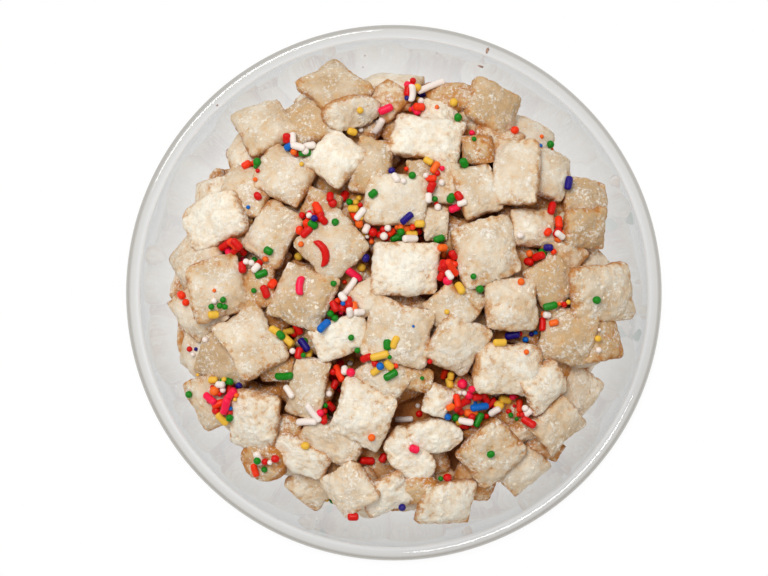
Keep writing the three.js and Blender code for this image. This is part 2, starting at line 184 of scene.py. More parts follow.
def clear_glass():
    """Clear soda glass, fire-polished, so that it mirrors sharply. The thin wall passes light
    nearly straight, greyer and with more mirror at a slant, and the thick foot bends light."""
    material, tree = new_material("clear_soda_glass")
    place = add(tree, "ShaderNodeTexCoord").outputs["Object"]
    split = add(tree, "ShaderNodeSeparateXYZ", {"Vector": place})
    wall = add(tree, "ShaderNodeMapRange", {
        "Value": split.outputs["Z"],
        "From Min": WALL_STARTS[0] * MM,
        "From Max": WALL_STARTS[1] * MM,
    })
    facing = add(tree, "ShaderNodeLayerWeight", {"Blend": 0.5}).outputs["Facing"]
    slant = add(tree, "ShaderNodeMapRange", {"Value": facing, "From Min": 0.25, "From Max": 0.97})
    tint = add(tree, "ShaderNodeMix", {
        "Factor": slant, "A": linear("FDFDFD"), "B": linear("E4E5E5"),
    }, data_type="RGBA")
    across = add(tree, "ShaderNodeCombineXYZ", {"X": split.outputs["X"], "Y": split.outputs["Y"]})
    radius = add(tree, "ShaderNodeVectorMath", {0: across}, operation="LENGTH")
    roll = add(tree, "ShaderNodeMapRange", {
        "Value": radius,
        "From Min": ROLL_STARTS[0] * MM,
        "From Max": ROLL_STARTS[1] * MM,
    }, interpolation_type="SMOOTHSTEP")
    # Greyer over the rolled rim: its thicker glass, and painted shade for what the roll would bend into
    # view.
    deep = add(tree, "ShaderNodeMix", {
        "Factor": roll, "A": tint, "B": linear("D6D4D0"),
    }, data_type="RGBA")
    passed = add(tree, "ShaderNodeBsdfTransparent", {"Color": deep})
    mirror = add(tree, "ShaderNodeBsdfGlossy", {"Color": linear("F6F7F7"), "Roughness": 0.03})
    steep = add(tree, "ShaderNodeMath", {0: facing, 1: 1.3}, operation="POWER")
    inside = add(tree, "ShaderNodeNewGeometry").outputs["Backfacing"]
    outside_share = add(tree, "ShaderNodeMapRange", {"Value": steep, "To Min": 0.035, "To Max": 0.36})
    share = add(tree, "ShaderNodeMix", {"Factor": inside, "A": outside_share, "B": 0.0})
    thin = add(tree, "ShaderNodeMixShader", {0: share, 1: passed, 2: mirror})
    thick = add(tree, "ShaderNodeBsdfPrincipled", {
        "Base Color": linear("F7F9F8"),
        "Roughness": 0.015,
        "IOR": 1.45,
        "Transmission Weight": 1.0,
    })
    glass = add(tree, "ShaderNodeMixShader", {0: wall, 1: thick, 2: thin})
    shade = add(tree, "ShaderNodeBsdfTransparent", {"Color": linear("F4F5F5")})
    shadow = add(tree, "ShaderNodeLightPath").outputs["Is Shadow Ray"]
    mixed = add(tree, "ShaderNodeMixShader", {0: shadow, 1: glass, 2: shade})
    add(tree, "ShaderNodeOutputMaterial", {"Surface": mixed})
    return material


glass_bowl = mesh_piece("glass_bowl", *turned(bowl_profile(), BOWL_SIDES), clear_glass())
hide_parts("bowl")
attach(glass_bowl, "root")

# Cereal squares
# Crisp rice and corn squares, puffed in the middle and crimped at the edges, tossed in a pale
# coat and powdered sugar. The coat is lumpy and grainy, and tan where it is thin or worn. The
# same tan and brown are also painted shade at the edges, underneath and on squares that lie deep.
CROWN = 66
SHOULDER = 50
SHOULDER_RADIUS = 66
SLOPE_POWER = 2.6
BED_INSET = 6
GLASS_GAP = 0.5
SQUARE_SIZE = 16.5
RING_SPACING = 5
SMALL_PIECE = 11
MOST_PUFF = 8.6
SINK = 2
STEEPEST = 0.62
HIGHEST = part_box("puppy_chow")[1][2] / MM - 0.4
# How far over the rim the camera is, and the cells and half width of the relief, a grid of
# heights on which each piece comes to rest.
SEEN_FROM = 600
CELL = 0.5
REACH = 78

# Squares that show from above, as lists from the lowest to the highest: x, y, width, depth and
# turn in degrees as seen from straight above, then how oval the outline is, from 0 to 1, and how
# its coat of sugar looks: 0 thick and white, 1 cream, 2 thin and tan. That last number was set
# square by square to how light or dark each looks from above, so it holds painted shade as well
# as the coat.
LOW_SQUARES = [
    [-36.5, -47.5, 12, 11, 0, 1, 2], [6, -56, 12, 8, 15, 1, 2], [23, -54, 12, 10, -20, 0, 2],
    [43, -44.5, 12, 6, -25, 0, 1], [58, -12.5, 13, 13, 10, 0, 2], [49, 12, 13, 8, -35, 0, 1],
    [30, 42.5, 14, 9, -5, 0, 1], [17, 55.5, 14, 8, 0, 0, 2], [-1.5, 55, 10, 10, 45, 0, 1],
    [21.5, -2.5, 8, 10, -35, 0, 2], [-21, 25, 11, 9, -20, 0, 2], [6.5, -24.5, 10, 7, -15, 0, 2],
    [-33, -22, 10, 7, 0, 0, 2], [-39, 1.5, 12, 13, 10, 0, 2], [-44, 17, 8, 10, 0, 0, 2],
    [-30, -38.5, 8, 7, 0, 1, 2], [36.5, -40, 9, 7, 20, 0, 1], [24, 41, 10, 8, 0, 0, 2],
]
MIDDLE_SQUARES = [
    [-23.5, 49, 16, 14, 20, 0, 2], [-42, 29, 14, 14, -15, 0, 1], [-54.5, 7, 15, 13, 30, 0, 1],
    [-55, -5, 15, 15, 34, 0, 1], [-48, -19, 16, 13, -15, 0, 2], [-51.5, -31, 15, 12, -65, 0.3, 1],
    [-2.5, -57, 14, 10, 25, 0.3, 0], [-23.5, -56, 13, 11, -48, 0, 1], [15.2, -61, 15.5, 12.5, -5, 0, 0],
    [52, -28.5, 13, 13.5, -30, 0, 1], [49.5, -12.5, 16, 16, -10, 0, 2], [45.5, 3.5, 13, 14, 35, 0, 2],
    [39.5, 18.5, 14, 11, -5, 0, 1], [55, 27, 14, 12, -4, 0, 2], [54, 18, 13, 11, -2, 0, 2],
    [43, 34, 14, 14, -15, 0, 1], [-6.5, 36, 11, 17, -12, 0, 2], [7.5, 35, 8, 6, 0, 0, 2],
    [0.5, 26.5, 18, 14, 0, 0.6, 1], [14.5, 31.5, 8, 12, -10, 0, 1], [-7.5, -1.5, 10, 10, 30, 0, 1],
    [-17.5, 13.5, 17, 17, 42, 0, 1],
]
HIGH_SQUARES = [
    [-36.5, 47, 15, 15, 25, 0.2, 1], [-17.5, 60, 14.5, 16, 40, 0, 2], [-31, 33.5, 16, 15, -28, 0, 1],
    [-50.3, 1.5, 16.3, 17.5, 17, 0, 1], [-18, -42.5, 17, 10, -28, 0.6, 1],
    [-26, -46.5, 17, 9.5, -30, 0.7, 0], [-24.5, -27, 11, 18, -15, 0, 1],
    [-12.5, -55.3, 13, 13, 35, 0, 1], [4.5, -46.5, 16, 10.5, -45, 0.8, 0],
    [33.5, -3, 16, 15.5, 3, 0, 1], [24, 29, 12, 15, 17, 0, 1], [28, 52.5, 15, 13, -25, 0.2, 2],
    [13, 51, 10, 7, -15, 0, 0], [16, -5, 13, 12, -45, 0, 1], [18, -14.5, 14, 15, -30, 0, 1],
    [32.5, -21.5, 20, 15, -7, 0.2, 0], [46, -37.5, 14, 13, 40, 0, 1], [42.5, -27, 12, 11, 30, 0, 0],
    [-15.5, -12.5, 17, 11, 20, 0.3, 0], [-3, -23.5, 14, 11, -35, 0, 1], [12.5, -31, 8, 9, -20, 0, 0],
    [12, 19.5, 7, 10, 0, 0, 1], [36.5, -51, 13, 12, 40, 0, 1],
]
TOP_SQUARES = [
    [9, 44, 20, 12.5, -10, 0, 0], [-16.5, 38.3, 14, 14.5, -40, 0, 0], [-12, 51.3, 15.5, 8.5, 10, 1, 1],
    [-34.3, 17, 13, 17, -33, 0, 1], [-50.5, 20.5, 19, 13.5, 20, 0.7, 0], [-41, -14, 15, 19, 32, 0, 1],
    [-39.7, -36.5, 14, 18, -10, 0, 0], [-9, -35, 16.5, 17.5, -25, 0, 0],
    [27.7, -45.7, 17.5, 15.3, 45, 0, 1], [59.5, 0, 19.5, 15.5, 4, 0, 1], [26.5, 12, 18, 18, 16, 0, 1],
    [35, 34, 13, 19, -3, 0, 1], [1.5, -11.5, 19, 18, -14, 0, 1], [3.2, 7, 19.5, 15, -1, 0, 0],
    [-26, -1, 17, 17.5, -21, 0, 2], [11.5, -41, 17, 9.5, -5, 1, 0],
]
# Rings at the glass: height, inset of the squares' middles from it, and how far the shown side
# faces up, in degrees. The last ring closes the shoulder under the edge of the heap.
GLASS_RINGS = [[13, 5, -46], [25, 5, -28], [37.5, 5, -12], [50, 11, 38]]
# Squares flat on the floor of the bowl: radius of their ring and how many.
FLOOR_RINGS = [[0, 1], [21, 7]]
# Squares behind the gaps of those at the glass: heights, inset of their middles and spacing.
BEHIND_HEIGHTS = (11, 20, 29, 38)
BEHIND_INSET = 10.5
BEHIND_SPACING = 14
# Squares under the seen ones: radii of their rings and spacing.
BED_RINGS = np.arange(0, 56, 12.5)
BED_SPACING = 14
# Places where one looks down past the top squares into the dark, and the room kept at them.
GAP_ROOM = 5
DEEP_GAPS = [
    [12.5, -24], [21, -38.5], [3, -35], [-30, -13], [-12, -18.5], [14, 9.7], [20.5, 37], [-1.5, 35],
    [-28, -37], [24, 41],
]

rng = np.random.default_rng(11)


def noise(points, size, seed):
    """Smooth random values from -1 to 1 in space, with hills about size apart."""
    scaled = np.asarray(points) / size
    cell = np.floor(scaled).astype(np.int64)
    inner = scaled - cell
    inner = inner * inner * (3 - 2 * inner)
    total = np.zeros(len(scaled))
    for corner in itertools.product((0, 1), repeat=3):
        at = (cell + corner) * (73856093, 19349663, 83492791)
        mixed = (at[:, 0] ^ at[:, 1] ^ at[:, 2] ^ (seed * 2654435761)) & 0xFFFFFFFF
        mixed = ((mixed ^ (mixed >> 13)) * 1274126177) & 0xFFFFFFFF
        weight = np.prod(np.where(corner, inner, 1 - inner), axis=1)
        total += weight * ((mixed ^ (mixed >> 16)) / 2**31 - 1)
    return total


def seeded(seed):
    """A seeded draw from 0 to 1, the one that places the squares."""
    state = seed

    def draw():
        nonlocal state
        state = (state + 0x6D2B79F5) & 0xFFFFFFFF
        t = (state ^ (state >> 15)) * (1 | state) & 0xFFFFFFFF
        t = (t + (t ^ (t >> 7)) * (61 | t)) & 0xFFFFFFFF ^ t
        return (t ^ (t >> 14)) / 4294967296

    return draw


draw = seeded(7)
steps = np.array([0, 0.36, 0.56, 0.71, 0.83, 0.91, 0.965, 1]) * MOUTH_RADIUS
step_heights = inside_height(steps)
bed_edge = np.interp(SHOULDER - 7, step_heights, steps) - BED_INSET
bed_radii = bed_edge * np.array([0, 0.3, 0.6, 0.86, 1])
bed_heights = CROWN - (CROWN - SHOULDER) * (bed_radii / SHOULDER_RADIUS) ** SLOPE_POWER
bed_heights[-1] = SHOULDER - 5


def bed_height(radius):
    """Height of the heap under its top squares, at a radius."""
    return np.interp(radius, bed_radii, bed_heights)


axis = np.arange(-REACH, REACH + CELL / 2, CELL)
relief = bed_height(np.hypot(*np.meshgrid(axis, axis)))


def proxy(width, depth, puff, oval, sides):
    """A coarse square lying flat, which finds where the real one comes to rest."""
    skew = 0.1 * (draw() - 0.5)
    rows = [(0, -0.5), (1, 0), (0.68, 0.36), (0, 0.5)]
    order = [(0, 0), (1, 0), (1, 1), (2, 0), (2, 1), (3, 0)]
    order += [(row, side) for side in range(2, sides) for row in (1, 2)]
    points = []
    for row, side in order:
        angle = side / sides * 2 * math.pi + (math.pi / 4 if sides == 4 else 0)
        radius, height = rows[row]
        x, y = radius * math.sin(angle), -radius * math.cos(angle)
        flat = max(1e-6, math.hypot(x, y))
        corner = abs(2 * x * y / flat**2)
        reach = (1 - oval) * (0.95 + 0.35 * corner) + oval * (1 + 0.05 * corner)
        jitter = 1 + 0.07 * (draw() - 0.5)
        lift = 1.1 - 0.25 * corner if flat > 0.1 else 1
        points.append([
            width / 2 * reach * jitter * (x + skew * y),
            depth / 2 * reach * jitter * y,
            puff * lift * height,
        ])
    at = {key: i for i, key in enumerate(order)}
    triangles = []
    for side in range(sides):
        after = (side + 1) % sides
        triangles.append([0, at[1, after], at[1, side]])
        triangles.append([at[1, side], at[1, after], at[2, side]])
        triangles.append([at[2, after], at[2, side], at[1, after]])
        triangles.append([at[2, side], at[2, after], 5])
    return np.array(points), triangles


def over_faces(points, triangles, up):
    """Cells and heights under the triangles that look up, or down."""
    for triangle in triangles:
        a, b, c = points[triangle]
        area = (b[0] - a[0]) * (c[1] - a[1]) - (b[1] - a[1]) * (c[0] - a[0])
        if abs(area) < 1e-9 or (area > 0) != up:
            continue
        corners = (points[triangle, :2] + REACH) / CELL
        low = np.maximum(np.ceil(corners.min(axis=0)), 0).astype(int)
        high = np.minimum(np.floor(corners.max(axis=0)), len(axis) - 1).astype(int)
        j, i = np.mgrid[low[1] : high[1] + 1, low[0] : high[0] + 1]
        x, y = i * CELL - REACH, j * CELL - REACH
        u = ((b[0] - x) * (c[1] - y) - (b[1] - y) * (c[0] - x)) / area
        v = ((c[0] - x) * (a[1] - y) - (c[1] - y) * (a[0] - x)) / area
        inside = (u >= 0) & (v >= 0) & (u + v <= 1)
        yield j[inside], i[inside], (u * a[2] + v * b[2] + (1 - u - v) * c[2])[inside]


def settled(points, triangles, sink):
    """Points let down onto the relief, and a little into it."""
    lift = max(np.max(relief[j, i] - z, initial=-1e9) for j, i, z in over_faces(points, triangles, False))
    return points + [0, 0, lift - sink]


def deposit(points, triangles):
    """Raises the relief to a piece laid down."""
    for j, i, z in over_faces(points, triangles, True):
        relief[j, i] = np.maximum(relief[j, i], z)


def slope_under(x, y, radius):
    """Rise along x and y of the relief under a disc, held below the steepest rest."""
    span = np.arange(-radius, radius + 1e-9, 2 * CELL)
    u, v = (a.ravel() for a in np.meshgrid(span, span))
    i, j = (np.floor((at + REACH) / CELL + 0.5).astype(int) for at in (x + u, y + v))
    keep = (u**2 + v**2 <= radius**2) & (i >= 0) & (j >= 0) & (i < len(axis)) & (j < len(axis))
    u, v, heights = u[keep], v[keep], relief[j[keep], i[keep]]
    fit = np.linalg.lstsq(np.stack([u, v, np.ones_like(u)], 1), heights, rcond=None)[0][:2]
    return fit * min(1, STEEPEST / max(np.linalg.norm(fit), 1e-6))


def leaned(points, turn, normal):
    """Points turned about z, then leant so that their upright lies along a normal."""
    c, s = math.cos(turn), math.sin(turn)
    flat = points @ np.array([[c, s, 0], [-s, c, 0], [0, 0, 1]])
    up = np.asarray(normal, float) / np.linalg.norm(normal)
    side = np.cross([0, 0, 1], up)
    sine = np.linalg.norm(side)
    if sine < 1e-6:
        return flat
    side /= sine
    along = flat @ side
    return flat * up[2] + np.cross(side, flat) * sine + np.outer(along * (1 - up[2]), side)


def crossing(points, gap):
    """How far points reach into the glass, with a gap kept to it."""
    return np.max(np.hypot(points[:, 0], points[:, 1]) - inside_radius(points[:, 2]) + gap)


def pulled_in(points, x, y, rise, gap=GLASS_GAP):
    """Points moved inward, and up by some of it, until they clear the glass."""
    inward = -np.array([x, y]) / (math.hypot(x, y) or 1)
    for _ in range(12):
        most = crossing(points, gap)
        if most <= 0.01:
            break
        pull = most / (1 + 0.25 * rise)
        points = points + [inward[0] * pull, inward[1] * pull, rise * pull]
    return points


def puff_of(width, depth):
    """How thick a square is in its middle, from its smaller side."""
    return min(MOST_PUFF, 2.2 + 0.38 * min(width, depth))


def grid_faces(n):
    """Faces of a closed cushion: a top grid of n by n cells, a bottom one and the band between."""
    row = n + 1
    ij = np.arange(n)
    i, j = np.meshgrid(ij, ij)
    low = (j * row + i).ravel()
    top = np.stack([low, low + 1, low + row + 1, low + row], 1)
    bottom = top[:, ::-1] + row * row
    edge = np.concatenate([ij, ij * row + n, n * row + n - ij, (n - ij) * row])
    after = np.roll(edge, -1)
    band = np.stack([edge + row * row, after + row * row, after, edge], 1)
    return np.concatenate([top, bottom, band])


def normals_of(points, faces):
    """Mean face normal at each point."""
    a, b, c, d = (points[faces[:, k]] for k in range(4))
    face_normals = np.cross(c - a, d - b)
    total = np.zeros_like(points)
    for k in range(4):
        np.add.at(total, faces[:, k], face_normals)
    return total / np.maximum(np.linalg.norm(total, axis=1, keepdims=True), 1e-9)


def cereal_square(width, depth, puff, oval, n):
    """Points of one square lying flat, n cells to a side, and how thin its coat is at each point,
    with painted shade added at its edges and underneath.
    """
    t = np.linspace(-1, 1, n + 1)
    t = 0.72 * t + 0.28 * np.sin(t * math.pi / 2)
    u, v = (a.ravel() for a in np.meshgrid(t, t))
    power = 2.2 + (3.4 + 4.6 * rng.random()) * (1 - oval)
    angle = np.arctan2(v, u)
    across, along = np.abs(np.sin(angle)), np.abs(np.cos(angle))
    outline = (along**power + across**power) ** (-1 / power) * np.maximum(along, across)
    ring = np.maximum(np.abs(u), np.abs(v))
    wobble = sum(
        rng.uniform(-1, 1) * 0.045 / k**0.8 * np.cos(k * angle + rng.uniform(0, 6.28))
        for k in (1, 2, 3, 5, 8)
    )
    reach = outline * (1 + wobble * ring)
    skew = rng.uniform(-0.08, 0.08)
    drawn_in = 1 - (1 - oval) * rng.uniform(0.02, 0.06) * ring**2 * (1 - (u * v) ** 2)
    x = width / 2 * (u * reach * drawn_in + skew * v)
    y = depth / 2 * v * reach * drawn_in
    pillow = ((1 - np.abs(u) ** 2.3) * (1 - np.abs(v) ** 2.3)) ** 0.66
    domed = (1 - ring**2.4) ** 0.5
    height = (1 - oval) * pillow + oval * domed
    edge = 0.95 + 0.3 * oval
    warp = rng.uniform(-0.9, 0.9) * u * v + rng.uniform(-0.8, 0.8) * (u**2 - v**2) * (1 - oval)
    upper = edge + (puff / 2 - edge) * height + warp
    lower = -edge - (puff / 2 - edge) * height + warp
    points = np.concatenate([np.stack([x, y, upper], 1), np.stack([x, y, lower], 1)])
    faces = grid_faces(n)
    seed = int(rng.integers(1, 1 << 20))
    broad = noise(points, 6.5, seed)
    lumps = noise(points, 2.8, seed + 1)
    crust = noise(points, 1.3, seed + 2)
    crisp = noise(points, 0.75, seed + 3)
    raised = 0.62 * broad + 0.34 * lumps + 0.19 * crust + 0.19 * crisp
    points = points + normals_of(points, faces) * raised[:, None]
    patches = 0.4 * noise(points, 6, seed + 4) + 0.4 * noise(points, 2.2, seed + 5)
    worn = patches - 0.5 * lumps - 0.7 * crust - 0.3 * crisp
    # Tan towards the edges and underneath: partly the real browned, crimped edge, partly painted warm
    # shade on the sides and under the square.
    rim = np.concatenate([ring, ring]) ** 6
    under = np.repeat([0, 1], len(ring))
    bare = np.clip(0.3 + 0.42 * worn + 0.62 * rim + 0.5 * under + rng.uniform(-0.1, 0.1), 0, 1.5)
    return points, faces, bare


class Batch:
    """Squares gathered into one piece. Each has a tone, from a thick white coat at 0 to a thin one
    at 1, drawn from tones unless its coat was read, and all are made barer by the batch's second
    number. For the deep batches that number and their tones are painted shade for how far down
    they lie, and a read coat holds painted shade as well as the coat."""

    def __init__(self, cells, worn=0, tones=None):
        self.cells, self.worn, self.tones = cells, worn, tones
        self.points, self.faces, self.bare, self.tone, self.normals, self.count = [], [], [], [], [], 0

    def take(self, size, oval, turn, normal, place, coat=None):
        """Makes the real square of a size where its proxy came to rest."""
        points, faces, bare = cereal_square(*size, oval, self.cells)
        points = leaned(points, turn, normal) + place
        points = points - [0, 0, max(0, np.max(points[:, 2]) - HIGHEST)]
        points = pulled_in(points, points[:, 0].mean(), points[:, 1].mean(), 0.25, 0.3)
        self.faces.append(faces + self.count)
        self.count += len(points)
        self.points.append(points)
        # For deep batches this extra bareness is painted shade.
        self.bare.append(bare + self.worn)
        tone = rng.uniform(*self.tones) if coat is None else coat / 2 + rng.uniform(-0.14, 0.1)
        self.tone.append(np.full(len(points), tone))
        self.normals.append(normals_of(points, faces))

    def piece(self, name, material):
        """The mesh object of all the squares taken."""
        points, faces = np.concatenate(self.points), np.concatenate(self.faces)
        values = {"bare": np.concatenate(self.bare), "tone": np.concatenate(self.tone)}
        return mesh_piece(name, points, faces, material, values=values)


def lay_at_glass(batch):
    """Lays squares against the glass in rings up the wall, and flat on the floor of the bowl."""
    for height, inset, facing in GLASS_RINGS:
        ring = float(np.interp(height, step_heights, steps)) - inset
        count = int(2 * math.pi * ring / (SQUARE_SIZE + RING_SPACING))
        for i in range(count):
            angle = (i + 0.4 * draw()) / count * 2 * math.pi
            width = SQUARE_SIZE * (0.88 + 0.24 * draw())
            depth = width * (0.85 + 0.15 * draw())
            size = [width, depth, puff_of(width, depth)]
            points, triangles = proxy(*size, 0, 4)
            tilt = math.radians(facing) + 0.5 * (draw() - 0.5)
            turn = angle + 0.5 * (draw() - 0.5)
            away = math.cos(tilt)
            normal = [away * math.cos(turn), away * math.sin(turn), math.sin(tilt)]
            spin = draw() * math.pi
            x, y = ring * math.cos(angle), ring * math.sin(angle)
            first = leaned(points, spin, normal)
            points = pulled_in(first + [x, y, height + 2.4 * (draw() - 0.5)], x, y, 0.25)
            deposit(points, triangles)
            batch.take(size, 0, spin, normal, points[0] - first[0])
    for ring, count in FLOOR_RINGS:
        for i in range(count):
            angle = (i + 0.2 * draw()) / count * 2 * math.pi
            width = SQUARE_SIZE * (0.9 + 0.15 * draw())
            size = [width, width * 0.95, puff_of(width, width)]
            points, triangles = proxy(*size, 0, 4)
            spin = draw() * math.pi
            normal = [0.1 * draw(), 0.1 * draw(), 1]
            first = leaned(points, spin, normal)
            points = first + [ring * math.cos(angle), ring * math.sin(angle), 0]
            floor = np.interp(np.hypot(points[:, 0], points[:, 1]), steps, step_heights) + GLASS_GAP
            points = points + [0, 0, np.max(floor - points[:, 2])]
            batch.take(size, 0, spin, normal, points[0] - first[0])


def lay_behind(batch):
    """Lays squares behind the gaps of those at the glass."""
    for height in BEHIND_HEIGHTS:
        ring = float(inside_radius(height)) - BEHIND_INSET
        count = int(2 * math.pi * ring / BEHIND_SPACING)
        for i in range(count):
            angle = (i + 0.6 * rng.random()) / count * 2 * math.pi
            width = SQUARE_SIZE * rng.uniform(0.85, 1.05)
            size = [width, width * rng.uniform(0.85, 1), puff_of(width, width)]
            turn, tilt = angle + rng.uniform(-0.5, 0.5), rng.uniform(-0.8, 0.3)
            out = [math.cos(tilt) * math.cos(turn), math.cos(tilt) * math.sin(turn), math.sin(tilt)]
            at = np.array([ring * math.cos(angle), ring * math.sin(angle), height + rng.uniform(-2, 2)])
            batch.take(size, 0.1, rng.uniform(0, math.pi), out, at)


def lay_seen(batch, rows):
    """Lays down squares read from above. A lower place lies a little further out than it is seen."""
    for seen_x, seen_y, width, depth, turn, oval, coat in rows:
        drop = BOWL_HEIGHT - bed_height(math.hypot(seen_x, seen_y)) - MOST_PUFF
        x, y = seen_x * (1 + drop / SEEN_FROM), seen_y * (1 + drop / SEEN_FROM)
        slope = slope_under(x, y, 0.45 * min(width, depth))
        stretch = math.sqrt(1 + slope @ slope / 2)
        size = [width * stretch, depth * stretch, puff_of(width, depth)]
        points, triangles = proxy(*size, oval, 6 if min(width, depth) < SMALL_PIECE else 8)
        normal = [-slope[0], -slope[1], 1]
        first = leaned(points, math.radians(turn), normal)
        points = pulled_in(settled(first + [x, y, 0], triangles, SINK), x, y, 1)
        points = pulled_in(settled(points, triangles, SINK), x, y, 0)
        deposit(points, triangles)
        batch.take(size, oval, math.radians(turn), normal, points[0] - first[0], coat)


def lay_bed(batch):
    """Lays the squares under the seen ones, in rings over the dome, and none in its deep gaps."""
    for ring in BED_RINGS:
        count = max(1, int(2 * math.pi * ring / BED_SPACING))
        for i in range(count):
            angle = (i + 0.5 * rng.random()) / count * 2 * math.pi
            width = SQUARE_SIZE * rng.uniform(0.78, 1)
            size = [width, width * 0.92, puff_of(width, width)]
            x, y = ring * math.cos(angle), ring * math.sin(angle)
            if min(math.hypot(x - gap_x, y - gap_y) for gap_x, gap_y in DEEP_GAPS) < GAP_ROOM:
                continue
            rise = (bed_height(ring + 1) - bed_height(max(0, ring - 1))) / 2
            lean_x = -rise * math.cos(angle) + rng.uniform(-0.25, 0.25)
            lean_y = -rise * math.sin(angle) + rng.uniform(-0.25, 0.25)
            low = bed_height(ring) - size[2] / 2 - rng.uniform(0.4, 1.8)
            turn = rng.uniform(0, math.pi)
            batch.take(size, 0.1, turn, [lean_x, lean_y, 1], np.array([x, y, low]))


def sugared_cereal():
    """Powdered sugar, matt and near white, in a pale coat over browned cereal. The sugar lies in
    clumps and wears thin in places, where the coat and then the browned crust show. The same tan
    and brown also paint shade: on edges and undersides, on deep squares and, square by square,
    through the tone. Its real grains are too fine to show, so they are drawn half a millimetre wide."""
    material, tree = new_material("sugared_cereal")
    place = add(tree, "ShaderNodeTexCoord").outputs["Object"]
    bare = add(tree, "ShaderNodeAttribute", attribute_name="bare").outputs["Fac"]
    tone = add(tree, "ShaderNodeAttribute", attribute_name="tone").outputs["Fac"]
    fine = add(tree, "ShaderNodeTexNoise", {
        "Vector": place, "Scale": 1 / (1.9 * MM), "Detail": 5, "Roughness": 0.72,
    })
    grit = add(tree, "ShaderNodeTexNoise", {
        "Vector": place, "Scale": 1 / (0.5 * MM), "Detail": 3, "Roughness": 0.7,
    })
    flake = add(tree, "ShaderNodeTexNoise", {
        "Vector": place, "Scale": 1 / (1.0 * MM), "Detail": 4, "Roughness": 0.75, "Distortion": 0.4,
    })
    patch = add(tree, "ShaderNodeTexNoise", {"Vector": place, "Scale": 1 / (5 * MM), "Detail": 2})
    haze = add(tree, "ShaderNodeTexNoise", {"Vector": place, "Scale": 1 / (7 * MM), "Detail": 3})
    flaky = add(tree, "ShaderNodeMath", {0: patch, 1: 0.4, 2: flake}, operation="MULTIPLY_ADD")
    worn = add(tree, "ShaderNodeMath", {0: fine, 1: 2.3, 2: bare}, operation="MULTIPLY_ADD")
    hazy = add(tree, "ShaderNodeMath", {0: haze, 1: 1.5, 2: tone}, operation="MULTIPLY_ADD")
    thinner_and_shaded = add(tree, "ShaderNodeMapRange", {"Value": hazy, "From Min": 0.75, "From Max": 1.75})
    thin = add(tree, "ShaderNodeMapRange", {
        "Value": worn, "From Min": 1.2, "From Max": 2.1, "To Min": 0.0, "To Max": 0.72,
    })
    toasted_and_shaded = add(tree, "ShaderNodeMapRange", {
        "Value": worn, "From Min": 1.8, "From Max": 2.4, "To Min": 0.0, "To Max": 0.9,
    })
    clump = add(tree, "ShaderNodeMapRange", {
        "Value": flaky, "From Min": 0.71, "From Max": 0.86, "To Min": 0.0, "To Max": 0.8,
    })
    shade = linear("F9F1DF")
    # The tan, thin-coat and brown layers are painted shade as well as coat: their shares carry the shade
    # added at edges, undersides and deep squares, and the shade in each square's tone.
    for share, colour in ((thinner_and_shaded, "C4A57E"), (thin, "DCB27A"), (toasted_and_shaded, "BA7224"), (clump, "FEF8EC")):
        shade = add(tree, "ShaderNodeMix", {
            "Factor": share, "A": shade, "B": linear(colour),
        }, data_type="RGBA")
    bump = add(tree, "ShaderNodeBump", {"Height": grit, "Strength": 0.6, "Distance": 0.5 * MM})
    clumps = add(tree, "ShaderNodeBump", {
        "Height": clump, "Strength": 0.5, "Distance": 0.3 * MM, "Normal": bump,
    })
    shader = add(tree, "ShaderNodeBsdfPrincipled", {
        "Base Color": shade,
        "Roughness": 0.85,
        "Specular IOR Level": 0.3,
        "Normal": clumps,
    })
    add(tree, "ShaderNodeOutputMaterial", {"Surface": shader})
    return material


cereal = sugared_cereal()
# Behind, in the bed and low down, the batches' tanner tones and extra bareness are painted shade for how
# deep the squares lie.
at_glass = Batch(18, tones=(0.1, 0.6))
behind = Batch(12, 0.3, (0.5, 1))
bed = Batch(16, 0.75, (0.7, 1))
low, middle, high, top = Batch(24, 0.5), Batch(36), Batch(42), Batch(52)
lay_at_glass(at_glass)
lay_bed(bed)
lay_seen(low, LOW_SQUARES)
lay_seen(middle, MIDDLE_SQUARES)
lay_seen(high, HIGH_SQUARES)
lay_seen(top, TOP_SQUARES)
lay_behind(behind)
for batch, name in (
    (at_glass, "squares_at_glass"),
    (behind, "squares_behind"),
    (bed, "squares_in_bed"),
    (low, "squares_low"),
    (middle, "squares_middle"),
    (high, "squares_high"),
    (top, "squares_top"),
):
    piece = batch.piece(name, cereal)
    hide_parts("puppy_chow")
    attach(piece, "root")

# The relief of the real squares, on which sprinkles and sugar lie. Between them it is as deep as
# the core of the heap.
CORE_DEPTH = 9
relief = bed_height(np.hypot(*np.meshgrid(axis, axis))) - CORE_DEPTH


def cells_of(points):
    """Row and column in the relief of each point."""
    at = np.rint((points[:, :2] + REACH) / CELL).astype(int)
    return tuple(np.clip(at, 0, len(axis) - 1).T[::-1])


for batch in (at_glass, bed, low, middle, high, top):
    points, faces = np.concatenate(batch.points), np.concatenate(batch.faces)
    middles = points[faces].mean(axis=1)
    for lot in (points, middles, (points[faces[:, 0]] + middles) / 2):
        np.maximum.at(relief, cells_of(lot), lot[:, 2])

# Core of the heap
# Cereal crumbs and shadowed squares inside the heap, seen as brown dark down in the gaps and,
# lighter, through the glass. Its colour is painted shade over the brown of toasted crumbs, dark
# on top and lighter on its side. It stands in for what lies there, a few millimetres behind
# everything that shows, and its skin is lumpy, as crumbs are.
CORE_FLOOR = FLOOR + 5
CORE_SHOULDER = SHOULDER - 8
CORE_INSET = 6.5
CORE_SIDES = 160
# Heights between which its lighter side passes into its dark top, both painted shade.
DARK_STARTS = (42, 46)


def core_profile():
    """Outline of the core, up inside the glass as it is a little lower down, and over the dome."""
    heights = np.linspace(CORE_FLOOR, CORE_SHOULDER, 24)
    side = np.stack([inside_radius(heights - 1.5) - CORE_INSET, heights], 1)
    radii = np.linspace(side[-1][0], 0, 26)[1:]
    dome = np.stack([radii, bed_height(radii) - CORE_DEPTH], 1)
    return np.concatenate([[[0, CORE_FLOOR]], side, dome])


